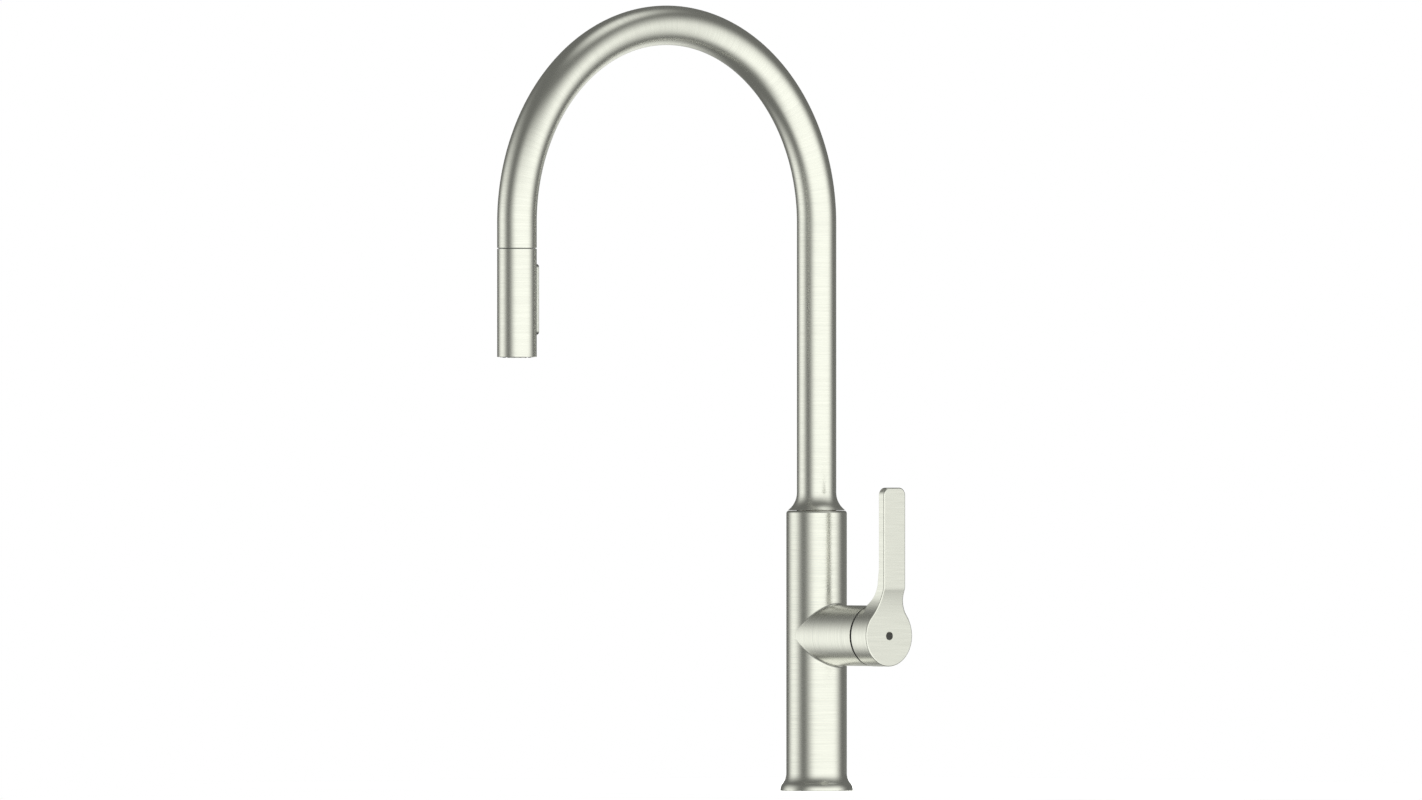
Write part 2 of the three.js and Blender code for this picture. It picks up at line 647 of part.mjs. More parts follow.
// A silicone mat behind the face, with a soft nozzle standing through each of the face's holes.
function nozzleMat() {
  const mat = ring(FACE.inner, WAND.bore - GAP, MAT.from, MAT.to, MEDIUM);
  const rooted = (MAT.from + MAT.to) / 2;
  const nozzles = nozzlePlaces().map(([x, y]) => rod(NOZZLE.r, NOZZLE.tip, rooted, 6).translate(x, y, 0));
  return carve(join(mat, ...nozzles));
}

function makeWand() {
  add(wand, "spray_shell", NICKEL, sprayShell());
  add(wand, "spray_core", GREY_PLASTIC, sprayCore());
  add(wand, "spray_button", PALE_PLASTIC, sprayButton().translate(0, 0, BUTTON_MIDDLE));
  const pin = alongX(rod(BUTTON_PIN.r, -BUTTON_PIN.half, BUTTON_PIN.half, 8));
  add(wand, "button_pin", STEEL, pin.translate(0, BUTTON_PIN.y, BUTTON_MIDDLE));
  add(wand, "diverter_spool", WHITE_PLASTIC, ring(SPOOL.bore, SPOOL.r, SPOOL.from, SPOOL.to));
  const { bore, from, to } = CHECK_VALVE;
  add(wand, "check_valve", WHITE_PLASTIC, ring(bore, WAND.channel - GAP, from, to));
  add(wand, "spray_face", GREY_PLASTIC, sprayFace());
  add(wand, "nozzle_mat", BLACK_RUBBER, nozzleMat());
  add(wand, "stream_aerator", WHITE_PLASTIC, ring(AERATOR.inner, AERATOR.outer, AERATOR.from, AERATOR.to));
  const nut = ring(FERRULE.bore, NECK.bore - GAP, NECK.floor + GAP, FERRULE.from - GAP, 6);
  add(wand, "hose_nut", BRASS, nut);
  add(wand, "hose_ferrule", STEEL, ring(FERRULE.bore, FERRULE.r, FERRULE.from, FERRULE.to));
}

makeColumn();
makeCartridge();
makeHandle();
makeSpout();
makeHose();
makeWand();

export default faucet;
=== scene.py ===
"""The looks of a pull-down kitchen faucet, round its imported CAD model. Metres, +Z up, deck at z = 0."""
from math import acos, asin, atan2, cos, degrees, hypot, pi, radians, sin, sqrt, tan

import bmesh
import bpy
import numpy as np
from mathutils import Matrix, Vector


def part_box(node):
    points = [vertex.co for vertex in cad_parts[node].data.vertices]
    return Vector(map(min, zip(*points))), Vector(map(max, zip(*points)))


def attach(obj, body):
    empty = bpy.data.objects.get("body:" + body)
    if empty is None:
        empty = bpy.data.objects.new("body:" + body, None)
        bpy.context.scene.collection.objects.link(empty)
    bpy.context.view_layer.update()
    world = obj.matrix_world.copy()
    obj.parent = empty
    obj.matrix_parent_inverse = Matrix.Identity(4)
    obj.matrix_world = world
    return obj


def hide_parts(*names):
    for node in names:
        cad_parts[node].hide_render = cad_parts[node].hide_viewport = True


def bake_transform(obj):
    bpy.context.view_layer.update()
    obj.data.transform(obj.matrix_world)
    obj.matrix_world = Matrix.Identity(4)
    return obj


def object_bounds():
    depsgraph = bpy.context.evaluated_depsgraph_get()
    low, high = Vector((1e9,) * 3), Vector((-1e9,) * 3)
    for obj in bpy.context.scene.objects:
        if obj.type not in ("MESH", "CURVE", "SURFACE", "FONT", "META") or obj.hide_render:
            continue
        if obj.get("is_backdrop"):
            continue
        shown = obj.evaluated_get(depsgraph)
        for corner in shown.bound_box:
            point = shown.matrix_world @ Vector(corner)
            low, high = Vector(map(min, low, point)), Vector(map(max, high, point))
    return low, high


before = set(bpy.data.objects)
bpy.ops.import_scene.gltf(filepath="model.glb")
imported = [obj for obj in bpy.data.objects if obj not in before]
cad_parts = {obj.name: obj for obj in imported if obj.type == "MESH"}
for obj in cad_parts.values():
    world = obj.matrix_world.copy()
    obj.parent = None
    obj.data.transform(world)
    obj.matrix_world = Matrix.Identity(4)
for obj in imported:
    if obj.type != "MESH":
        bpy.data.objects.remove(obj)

CAD_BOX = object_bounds()
MM = 0.001

# ---------------- dimensions, from the frame where it has them

_, body_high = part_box("faucet_body")
tube_low, tube_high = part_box("spout_tube")
shell_low, shell_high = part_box("spray_shell")
handle_low, handle_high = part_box("lever_handle")
bonnet_low, bonnet_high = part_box("bonnet_ring")
inlay_low, inlay_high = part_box("index_inlay")
button_low, button_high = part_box("spray_button")
plate_low, plate_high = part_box("base_plate")
seal_low, seal_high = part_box("base_seal")

COLUMN_R = 20 * MM
COLUMN_TOP = body_high.z
COLUMN_EDGE = 1.8 * MM
COLUMN_BORE = plate_high.x + 0.3 * MM
FOOT_R = body_high.y
FOOT_ROUND = 6.6 * MM  # the foot's round arc, and the hollow arc above it
FOOT_HOLLOW = 10.2 * MM
FOOT_RIM = 0.6 * MM
FILLET = 2 * MM  # between column and boss, which have the same radius

HANDLE_Z = (bonnet_low.z + bonnet_high.z) / 2
BOSS_END = 56.3 * MM
PIVOT_X = 42 * MM
BOSS_LIP = 0.3 * MM  # the thin end of the boss's wall, round the bonnet ring
BONNET_GAP = 0.1 * MM
BONNET_R = COLUMN_R - BOSS_LIP - BONNET_GAP
BONNET_SEAT = BOSS_END - 2.4 * MM
BALL_R = hypot(BOSS_END - PIVOT_X, BONNET_R)  # the ring's face is part of a ball round the lever's pivot
MOUTH_R = 17 * MM
MOUTH_SHOULDER = 46 * MM
CARTRIDGE_BORE = 12.6 * MM

HUB_R = -handle_low.y
HUB_BACK = BOSS_END + 1.85 * MM
HUB_BALL = hypot(HUB_BACK - PIVOT_X, HUB_R)
HUB_FACE = inlay_high.x
SOCKET_R = 5.5 * MM
SOCKET_END = 55 * MM
LEVER_HALF = 9.4 * MM
LEVER_FRONT = handle_high.x
LEVER_BACK = LEVER_FRONT - 5.4 * MM
LEVER_TOP = handle_high.z - HANDLE_Z
LEVER_CORNER = 5 * MM
NECK_R = 23 * MM
NECK_Y = LEVER_HALF + NECK_R
NECK_H = sqrt((HUB_R + NECK_R) ** 2 - NECK_Y**2)
NECK_TURN = atan2(NECK_H, NECK_Y)  # where the neck's arc touches the hub, as an angle above level
STEP_FROM, STEP_TO = 5 * MM, 33 * MM  # the front face steps out in a hollow arc and then a round one
STEP_TURN = 2 * atan2(LEVER_FRONT - HUB_FACE, STEP_TO - STEP_FROM)
STEP_ROUND = 8 * MM
STEP_HOLLOW = (STEP_TO - STEP_FROM) / sin(STEP_TURN) - STEP_ROUND
SWEEP_R, SWEEP_END = 28.3 * MM, 42 * MM
SCREW_X = 69.3 * MM

TUBE_R = tube_high.x
TUBE_BORE = 11.6 * MM
TUBE_FOOT = tube_low.z
REACH = -(shell_low.y + shell_high.y) / 2
ARCH_R = REACH / 2
SPRING = 375 * MM
ARCH_END = SPRING + pi * ARCH_R
COLLAR_HOLLOW = 14.5 * MM
COLLAR_TOP = 197 * MM
COLLAR_FOOT = COLUMN_TOP + 0.3 * MM

WAND_R = TUBE_R
WAND_BORE = 11.4 * MM
RIM = shell_low.z
WAND_TOP = shell_high.z
SPOUT_END = WAND_TOP + 0.6 * MM
SEAM_EDGE = 0.15 * MM  # on the spout's end and on the wand's top
BUTTON_MIDDLE = (button_low.z + button_high.z) / 2
BUTTON_LONG = (button_high.z - button_low.z) / 2
BUTTON_HALF = 5.25 * MM
BUTTON_CORNER = 2 * MM
BUTTON_OUT = button_high.y + REACH + 0.5 * MM
BUTTON_INNER = 11.6 * MM

X, Y, Z = np.eye(3)

# ---------------- skins: sheets of quads with true normals


def join(*parts):
    """Coordinates side by side, one row for each point. A single number is the same for all points."""
    return np.stack(np.broadcast_arrays(*parts), -1)


def spokes_at(angles):
    return join(np.cos(angles), np.sin(angles))


def quarter_turn(steps):
    """The cosines and sines of the angles from 0 to 90 degrees."""
    return spokes_at(np.linspace(0, pi / 2, steps + 1))


def add_object(name, data):
    obj = bpy.data.objects.new(name, data)
    bpy.context.scene.collection.objects.link(obj)
    return obj


class Skin:
    """Gathers sheets of quads and welds them. Each corner keeps the normal of the true surface, and
    `grain`, its place on the piece as it was brushed: the lines run across the grain's third axis."""

    def __init__(self):
        self.points, self.quads, self.normals, self.grains = [], [], [], []
        self.count = 0

    def sheet(self, points, normals, grain=None):
        """Adds rows of points. Normals may be given for each point, for each column or once."""
        points = np.array(points, float)
        normals = np.broadcast_to(np.array(normals, float), points.shape)
        grain = points if grain is None else np.array(grain, float)
        rows, columns = points.shape[:2]
        index = np.arange(rows * columns).reshape(rows, columns)
        near, far = index[:-1], index[1:]
        faces = np.stack([near[:, :-1], near[:, 1:], far[:, 1:], far[:, :-1]], -1).reshape(-1, 4)
        points, normals, grain = (part.reshape(-1, 3) for part in (points, normals, grain))
        first, second, third, fourth = (points[faces[:, corner]] for corner in range(4))
        facing = np.cross(third - first, fourth - second)
        wrong = (facing * normals[faces].sum(axis=1)).sum(axis=1) < 0
        faces[wrong] = faces[wrong][:, ::-1]
        self.points.append(points)
        self.quads.append(faces + self.count)
        self.normals.append(normals[faces].reshape(-1, 3))
        self.grains.append(grain[faces].reshape(-1, 3))
        self.count += len(points)

    def mesh(self, name):
        mesh = bpy.data.meshes.new(name)
        mesh.from_pydata(np.concatenate(self.points).tolist(), [], np.concatenate(self.quads).tolist())
        for label, values in (("grain", self.grains), ("true_normal", self.normals)):
            attribute = mesh.attributes.new(label, "FLOAT_VECTOR", "CORNER")
            attribute.data.foreach_set("vector", np.concatenate(values).astype(np.float32).ravel())
        welded = bmesh.new()
        welded.from_mesh(mesh)
        bmesh.ops.remove_doubles(welded, verts=welded.verts, dist=0.002 * MM)
        welded.to_mesh(mesh)
        welded.free()
        kept = np.zeros(len(mesh.loops) * 3, np.float32)
        mesh.attributes["true_normal"].data.foreach_get("vector", kept)
        mesh.attributes.remove(mesh.attributes["true_normal"])
        mesh.polygons.foreach_set("use_smooth", np.ones(len(mesh.polygons), bool))
        mesh.normals_split_custom_set(kept.reshape(-1, 3).tolist())
        return mesh


def full_turn(sides):
    return np.linspace(0, 2 * pi, sides + 1)


def straight(start, end, steps=1):
    """A straight run of a profile between two (radius, height) places, with the outside on the right."""
    start, end = Vector(start), Vector(end)
    along = (end - start).normalized()
    normal = Vector((along.y, -along.x))
    return [(start.lerp(end, i / steps), normal) for i in range(steps + 1)]


def bend(centre, radius, start, end, steps=5):
    """An arc between two angles in degrees: round when it turns left, hollow when it turns right."""
    side = 1 if end > start else -1
    run = []
    for i in range(steps + 1):
        angle = radians(start + (end - start) * i / steps)
        spoke = Vector((cos(angle), sin(angle)))
        run.append((Vector(centre) + radius * spoke, side * spoke))
    return run


def rounded(*corners, closed=True):
    """The runs of a profile through corners (radius, height, rounding), with the outside on the right."""
    count = len(corners)
    ends, arcs = [], []
    for i, (r, h, size) in enumerate(corners):
        here = Vector((r, h))
        to_last = (Vector(corners[i - 1][:2]) - here).normalized()
        to_next = (Vector(corners[(i + 1) % count][:2]) - here).normalized()
        if size == 0:
            ends.append((here, here))
            arcs.append(None)
            continue
        half = to_last.angle(to_next) / 2
        begin = here + to_last * (size / tan(half))
        finish = here + to_next * (size / tan(half))
        middle = here + (to_last + to_next).normalized() * (size / sin(half))
        start = degrees(atan2(begin.y - middle.y, begin.x - middle.x))
        turn = degrees(atan2(finish.y - middle.y, finish.x - middle.x)) - start
        turn = (turn + 180) % 360 - 180
        ends.append((begin, finish))
        arcs.append(bend(middle, size, start, start + turn, 4))
    runs = []
    for i in range(count):
        if arcs[i]:
            runs.append(arcs[i])
        if closed or i < count - 1:
            runs.append(straight(ends[i][1], ends[(i + 1) % count][0]))
    return runs


def ring_profile(inner, outer, bottom, top, low_edge, high_edge):
    """The runs round a ring, edges and faces in turn, from its lower inner edge and its bottom on."""
    return rounded((inner, bottom, low_edge), (outer, bottom, low_edge), (outer, top, high_edge),
                   (inner, top, high_edge))


def upright(x=0.0, y=0.0):
    return lambda h: (np.array((x, y, h)), X, Y, Z)


on_wand = upright(0, -REACH)


def along_boss(h):
    return np.array((h, 0, HANDLE_Z)), -Z, Y, X


def along_spout(h):
    """A place on the gooseneck's centre line at a distance along it, with the directions across it."""
    if h <= SPRING:
        return np.array((0, 0, h)), X, Y, Z
    if h >= ARCH_END:
        return np.array((0, -REACH, SPRING - (h - ARCH_END))), X, -Y, -Z
    turn = (h - SPRING) / ARCH_R
    centre = np.array((0, -ARCH_R, SPRING))
    outward = np.array((0, cos(turn), sin(turn)))
    return centre + ARCH_R * outward, X, outward, np.array((0, -sin(turn), cos(turn)))


def lathe(skin, runs, place=upright(), angles=full_turn(96)):
    """Turns a profile round a straight or bent axis. `angles` may depend on the radius."""
    for run in runs:
        points, normals, grain = [], [], []
        for (r, h), (out, up) in run:
            origin, x, y, z = place(h)
            turn = angles(r) if callable(angles) else angles
            spoke = np.outer(np.cos(turn), x) + np.outer(np.sin(turn), y)
            points.append(origin + r * spoke)
            normals.append(out * spoke + up * z)
            grain.append(join(r * np.cos(turn), r * np.sin(turn), h))
        skin.sheet(points, normals, grain)


def wall(skin, radius, angles, lower, upper, centre=(0, 0), facing=1, steps=6):
    """A round upright wall between two edges, which may go up and down."""
    spoke = join(np.cos(angles), np.sin(angles), 0)
    around = radius * spoke + (*centre, 0)
    rows = [around + join(0, 0, lower + (upper - lower) * i / steps) for i in range(steps + 1)]
    skin.sheet(rows, facing * spoke)


def lift_rows(skin, rows, lift):
    """A sheet through rows of flat points, which `lift` takes to the surface."""
    skin.sheet(*zip(*[lift(row) for row in rows]))


def cell(skin, boundary, centre, radius, lift, steps=2):
    """Fills a flat outline round a hole, by way of `lift`, and gives the hole's angles."""
    spoke = boundary - centre
    spoke = spoke / np.linalg.norm(spoke, axis=1)[:, None]
    hole = centre + radius * spoke
    lift_rows(skin, [hole + (boundary - hole) * i / steps for i in range(steps + 1)], lift)
    return np.unwrap(np.arctan2(spoke[:, 1], spoke[:, 0]))


def flat_lift(z, up, y=0.0):
    """Takes flat points, counted from an upright axis at (0, y), to a level face."""
    def lift(points):
        level = join(points[:, 0], points[:, 1] + y, z)
        return level, np.broadcast_to(up * Z, level.shape), level
    return lift


def piece(node, skin, body, material, name=None):
    """A piece that takes the place of a CAD node. Its slot is named as its material is."""
    name = name or node + "_fine"
    obj = add_object(name, skin.mesh(name))
    obj.data.materials.append(material)
    if body:
        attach(obj, body)
    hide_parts(node)
    return obj


def turned_piece(node, body, material, runs, place=upright(), angles=full_turn(96), name=None):
    """A piece that is one profile turned round an axis."""
    skin = Skin()
    lathe(skin, runs, place, angles)
    piece(node, skin, body, material, name)


# ---------------- materials


class Nodes:
    """Short ways to add nodes to a material's or the world's tree."""

    def __init__(self, tree):
        self.tree = tree

    def add(self, kind, **settings):
        node = self.tree.nodes.new(kind)
        for name, value in settings.items():
            setattr(node, name, value)
        return node

    def feed(self, socket, value):
        if isinstance(value, bpy.types.NodeSocket):
            self.tree.links.new(value, socket)
        else:
            socket.default_value = value

    def math(self, operation, *values):
        node = self.add("ShaderNodeMath", operation=operation)
        for socket, value in zip(node.inputs, values):
            self.feed(socket, value)
        return node.outputs[0]

    def remap(self, value, low, high, to_low=0.0, to_high=1.0, smooth=False):
        node = self.add("ShaderNodeMapRange", interpolation_type="SMOOTHSTEP" if smooth else "LINEAR")
        for socket, given in zip(node.inputs, (value, low, high, to_low, to_high)):
            self.feed(socket, given)
        return node.outputs[0]

    def spread(self, noise, to_low=0.0, to_high=1.0):
        """Noise hardly leaves the middle of its range, so this spreads that over the range wanted."""
        return self.remap(noise, 0.3, 0.7, to_low, to_high)

    def noise(self, vector, stretch, detail=2.0):
        """Noise whose cells are 1/stretch metres long along each axis."""
        scaled = self.add("ShaderNodeVectorMath", operation="MULTIPLY")
        self.feed(scaled.inputs[0], vector)
        scaled.inputs[1].default_value = stretch
        node = self.add("ShaderNodeTexNoise")
        self.feed(node.inputs["Vector"], scaled.outputs[0])
        node.inputs["Scale"].default_value = 1.0
        node.inputs["Detail"].default_value = detail
        return node.outputs[0]

    def blend(self, share, first, second):
        node = self.add("ShaderNodeMix", data_type="RGBA")
        self.feed(node.inputs[0], share)
        for socket, colour in ((node.inputs[6], first), (node.inputs[7], second)):
            self.feed(socket, (*colour, 1) if isinstance(colour, tuple) else colour)
        return node.outputs[2]

    def bump(self, height, depth, normal=None):
        node = self.add("ShaderNodeBump")
        node.inputs["Strength"].default_value = 1.0
        node.inputs["Distance"].default_value = depth
        self.feed(node.inputs["Height"], height)
        if normal is not None:
            self.feed(node.inputs["Normal"], normal)
        return node.outputs[0]

    def split(self, vector):
        node = self.add("ShaderNodeSeparateXYZ")
        self.feed(node.inputs[0], vector)
        return node.outputs

    def dress(self, shader, colour, roughness, normal=None):
        for name, value in (("Base Color", colour), ("Roughness", roughness), ("Normal", normal)):
            if value is not None:
                self.feed(shader.inputs[name], value)

    def grain(self):
        return self.add("ShaderNodeAttribute", attribute_name="grain").outputs["Vector"]

    def place(self):
        return self.add("ShaderNodeTexCoord").outputs["Object"]


def new_material(name, metallic):
    material = bpy.data.materials.new(name)
    material.use_nodes = True
    shader = material.node_tree.nodes["Principled BSDF"]
    shader.inputs["Metallic"].default_value = metallic
    return material, Nodes(material.node_tree), shader


def brushed_nickel():
    """Satin nickel: fine lines round each round piece, of uneven length, depth and brightness."""
    material, nodes, shader = new_material("brushed_nickel", 1.0)
    grain = nodes.grain()
    fine = nodes.noise(grain, (35, 35, 1800))
    broad = nodes.noise(grain, (20, 20, 700))
    dapple = nodes.noise(grain, (260, 260, 900))
    lines = nodes.math("ADD", nodes.math("MULTIPLY", fine, 0.6), nodes.math("MULTIPLY", broad, 0.4))
    colour = nodes.blend(nodes.spread(lines), (0.832, 0.832, 0.79), (0.918, 0.918, 0.871))
    relief = nodes.bump(dapple, 0.0005 * MM)
    nodes.dress(shader, colour, nodes.spread(lines, 0.30, 0.23), nodes.bump(lines, 0.0008 * MM, relief))
    return material


def machined(name, light, dark, roughness):
    """A turned or drawn metal, with tool marks round it."""
    material, nodes, shader = new_material(name, 1.0)
    marks = nodes.noise(nodes.place(), (60, 60, 3000))
    stain = nodes.noise(nodes.place(), (120, 120, 120), 4.0)
    shade = nodes.math("ADD", nodes.math("MULTIPLY", marks, 0.5), nodes.math("MULTIPLY", stain, 0.5))
    dull = nodes.spread(stain, roughness - 0.05, roughness + 0.08)
    nodes.dress(shader, nodes.blend(nodes.spread(shade), dark, light), dull, nodes.bump(marks, 0.008 * MM))
    return material


def moulded(name, light, dark, roughness, texture=0.02 * MM):
    """A moulded plastic, rubber or ceramic, with a slight cloudiness and a fine skin texture."""
    material, nodes, shader = new_material(name, 0.0)
    cloud = nodes.noise(nodes.place(), (90, 90, 90), 3.0)
    skin = nodes.noise(nodes.place(), (2400, 2400, 2400))
    dull = nodes.spread(skin, roughness - 0.06, roughness + 0.06)
    nodes.dress(shader, nodes.blend(nodes.spread(cloud), dark, light), dull, nodes.bump(skin, texture))
    return material


def button_plastic():
    """A pale plastic with painted shade: its outermost face is painted grey and its two ends near black.
    """
    material, nodes, shader = new_material("button_plastic", 0.0)
    _, y, z = nodes.split(nodes.place())
    from_middle = nodes.math("ABSOLUTE", nodes.math("SUBTRACT", z, BUTTON_MIDDLE))
    # painted shade: near black towards the button's two ends
    end = nodes.remap(from_middle, BUTTON_LONG - 2.6 * MM, BUTTON_LONG - 1.2 * MM, smooth=True)
    outward = nodes.math("ADD", y, REACH)
    # painted shade: grey on the outermost face, where the button turns away from the light
    face = nodes.remap(outward, BUTTON_OUT - 0.9 * MM, BUTTON_OUT - 0.5 * MM, smooth=True)
    cloud = nodes.noise(nodes.place(), (90, 90, 90), 3.0)
    pale = nodes.blend(nodes.spread(cloud), (0.62, 0.63, 0.59), (0.68, 0.69, 0.65))
    with_painted_face_shade = nodes.blend(face, pale, (0.16, 0.16, 0.155))
    nodes.dress(shader, nodes.blend(end, with_painted_face_shade, (0.05, 0.05, 0.048)), nodes.spread(cloud, 0.26, 0.36))
    return material


NICKEL = brushed_nickel()
BRASS = machined("brass", (0.80, 0.66, 0.36), (0.66, 0.52, 0.27), 0.3)
COPPER = machined("copper", (0.82, 0.50, 0.36), (0.66, 0.38, 0.27), 0.32)
STEEL = machined("steel", (0.72, 0.73, 0.74), (0.58, 0.59, 0.60), 0.26)
MAGNET = machined("magnet", (0.34, 0.34, 0.35), (0.26, 0.26, 0.27), 0.42)
CERAMIC = moulded("ceramic", (0.86, 0.85, 0.82), (0.80, 0.79, 0.76), 0.2, 0.004 * MM)
WHITE_PLASTIC = moulded("white_plastic", (0.78, 0.78, 0.75), (0.72, 0.72, 0.69), 0.45)
GREY_PLASTIC = moulded("grey_plastic", (0.27, 0.28, 0.28), (0.23, 0.24, 0.24), 0.45)
BUTTON_PLASTIC = button_plastic()
BLACK_RUBBER = moulded("black_rubber", (0.022, 0.022, 0.023), (0.014, 0.014, 0.015), 0.6)
DARK_INLAY = moulded("dark_inlay", (0.032, 0.032, 0.030), (0.024, 0.024, 0.022), 0.25, 0.004 * MM)


# ---------------- column and boss

BODY_SIDES = 128


def make_body():
    skin = Skin()
    turn = full_turn(BODY_SIDES)
    reach = np.maximum(np.cos(turn), 0) * (COLUMN_R + FILLET)
    hollow_r = COLUMN_R + FOOT_HOLLOW
    round_r = FOOT_R - FOOT_ROUND
    apart = hollow_r - round_r
    height = sqrt((FOOT_HOLLOW + FOOT_ROUND) ** 2 - apart**2)
    slope = degrees(atan2(height, apart))
    foot_top = FOOT_RIM + height
    wall(skin, COLUMN_R, turn, foot_top, HANDLE_Z - reach)
    wall(skin, COLUMN_R, turn, HANDLE_Z + reach, COLUMN_TOP - COLUMN_EDGE)
    edge_r = COLUMN_R - COLUMN_EDGE
    groove_in = seal_high.x - 1.7 * MM
    groove_out = seal_high.x + 0.3 * MM
    groove_top = seal_high.z + 0.3 * MM
    inside = rounded(
        (edge_r, COLUMN_TOP, 0),
        (COLUMN_BORE, COLUMN_TOP, 0.3 * MM),
        (COLUMN_BORE, 0, 0.3 * MM),
        (groove_in, 0, 0.15 * MM),
        (groove_in, groove_top, 0),
        (groove_out, groove_top, 0),
        (groove_out, 0, 0.15 * MM),
        (FOOT_R, 0, 0.35 * MM),
        (FOOT_R, FOOT_RIM, 0),
        closed=False,
    )
    runs = [
        bend((edge_r, COLUMN_TOP - COLUMN_EDGE), COLUMN_EDGE, 0, 90, 8),
        *inside,
        bend((round_r, FOOT_RIM), FOOT_ROUND, 0, slope, 10),
        bend((hollow_r, foot_top), FOOT_HOLLOW, 180 + slope, 180, 14),
    ]
    lathe(skin, runs, angles=turn)
    add_boss(skin)
    piece("faucet_body", skin, "column", NICKEL, "faucet_body_shell")


def add_boss(skin):
    """The boss, and the fillet that a ball of radius FILLET leaves when it rolls round the joint."""
    turn = np.linspace(-pi / 2, pi / 2, BODY_SIDES // 2 + 1)
    along, across = np.cos(turn), np.sin(turn)
    axis = np.array((0, 0, HANDLE_Z))
    start = COLUMN_R + FILLET
    round_from = start + 1 * MM  # from here on, the boss is round all the way
    shares = np.linspace(0, 1, 9)
    between = np.maximum(np.arccos(np.clip(across**2, 0, 1)), 1e-5)[:, None]
    for side in (1, -1):
        centre = axis + start * join(along, across, side * along)
        from_column = join(along, across, 0)
        outward = join(0, across, side * along)
        first, last = from_column / np.sin(between), outward / np.sin(between)
        weights = [(np.sin((1 - share) * between), np.sin(share * between)) for share in shares]
        spokes = [near * first + far * last for near, far in weights]
        skin.sheet([centre - FILLET * spoke for spoke in spokes], spokes)
        lengths = [along * start * (1 - share) + round_from * share for share in shares]
        points = [axis + COLUMN_R * outward + np.outer(length, X) for length in lengths]
        grain = [COLUMN_R * join(-side * along, across, length / COLUMN_R) for length in lengths]
        skin.sheet(points, outward, grain)
    lip_r = COLUMN_R - BOSS_LIP
    runs = rounded(
        (COLUMN_R, round_from, 0),
        (COLUMN_R, BOSS_END, 0.1 * MM),
        (lip_r, BOSS_END, 0),
        (lip_r, BONNET_SEAT, 0),
        (MOUTH_R, BONNET_SEAT, 0),
        (MOUTH_R, MOUTH_SHOULDER, 0),
        (CARTRIDGE_BORE, MOUTH_SHOULDER, 0),
        (CARTRIDGE_BORE, COLUMN_R, 0),
        (0, COLUMN_R, 0),
        closed=False,
    )
    lathe(skin, runs, along_boss, full_turn(BODY_SIDES))


def make_bonnet():
    """The ring that fills the boss's mouth; the seam between boss and hub shows its face, coloured black
    rubber as painted shade for the seam.
    """
    inner, neck, lip_r = 13.5 * MM, MOUTH_R - 0.3 * MM, 15.6 * MM
    seat = BONNET_SEAT + BONNET_GAP
    edge = 0.2 * MM

    def face_x(radius):
        return PIVOT_X + sqrt(BALL_R**2 - radius**2)

    profile = (
        (inner, bonnet_low.x, 0), (neck, bonnet_low.x, 0), (neck, seat, 0), (BONNET_R, seat, 0),
        (BONNET_R, face_x(BONNET_R), 0), (neck, face_x(neck), 0), (lip_r, face_x(lip_r), edge),
    )
    # BLACK_RUBBER here is painted shade: the ring stands dark in the seam where shadow falls
    turned_piece("bonnet_ring", "column", BLACK_RUBBER, rounded(*profile), along_boss)


# ---------------- underside

PORT_RING = 12.2 * MM
PORT_R = 3.4 * MM
PASSAGE_R = 7.9 * MM
HOLE_ANGLES = (-42, 0, 42, 135, 225)  # three water ports and two stud sockets


def ring_cells(inner, outer, hole_angles, hole_ring, steps):
    """For each hole on a ring: its place, and the angles and the outline of the cell round it."""
    before = (hole_angles[-1] - 360, *hole_angles[:-1])
    after = (*hole_angles[1:], hole_angles[0] + 360)
    for low, here, high in zip(before, hole_angles, after):
        turn = np.radians(np.linspace((low + here) / 2, (here + high) / 2, steps + 1))
        spokes = spokes_at(turn)
        side = np.linspace(inner, outer, 5)[1:-1, None]
        outline = [inner * spokes, side * spokes[-1], outer * spokes[::-1], side[::-1] * spokes[0]]
        centre = hole_ring * np.array((cos(radians(here)), sin(radians(here))))
        yield centre, turn, np.concatenate([*outline, inner * spokes[:1]])


def pierced_ring(inner, outer, bottom, top, edge, holes, y=0.0):
    """A flat ring with rounded edges and round holes. `holes` gives their angles, the ring they stand on,
    their radius, the rounding of their lower edges, and the steps of the cells round them."""
    hole_angles, hole_ring, hole_r, hole_edge, steps = holes
    wide_r = hole_r + hole_edge
    skin = Skin()
    around = []
    for centre, turn, outline in ring_cells(inner + edge, outer - edge, hole_angles, hole_ring, steps):
        hole = cell(skin, outline, centre, wide_r, flat_lift(bottom, -1, y))
        cell(skin, outline, centre, hole_r, flat_lift(top, 1, y))
        lining = rounded((hole_r, top, 0), (hole_r, bottom, hole_edge), (wide_r, bottom, 0), closed=False)
        lathe(skin, lining[:-1], upright(centre[0], centre[1] + y), hole)
        around.extend(turn[:-1])
    runs = ring_profile(inner, outer, bottom, top, edge, edge)
    del runs[5], runs[1]  # the top and the bottom, which the cells have made
    lathe(skin, runs, upright(0, y), np.array([*around, around[0] + 2 * pi]))
    return skin


def make_underside():
    edge = 0.3 * MM
    plate = pierced_ring(PASSAGE_R, plate_high.x, plate_low.z, plate_high.z, edge,
                         (HOLE_ANGLES, PORT_RING, PORT_R, edge, 12))
    piece("base_plate", plate, "column", BRASS)
    seal_edge = 0.4 * MM
    seal = ring_profile(seal_high.x - 1.4 * MM, seal_high.x, seal_low.z, seal_high.z, seal_edge, seal_edge)
    turned_piece("base_seal", "column", BLACK_RUBBER, seal)
    low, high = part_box("hose_guide")
    guide_bore = 7 * MM
    guide = ring_profile(guide_bore, PASSAGE_R - 0.3 * MM, low.z, high.z, edge, edge)
    turned_piece("hose_guide", "column", WHITE_PLASTIC, guide)


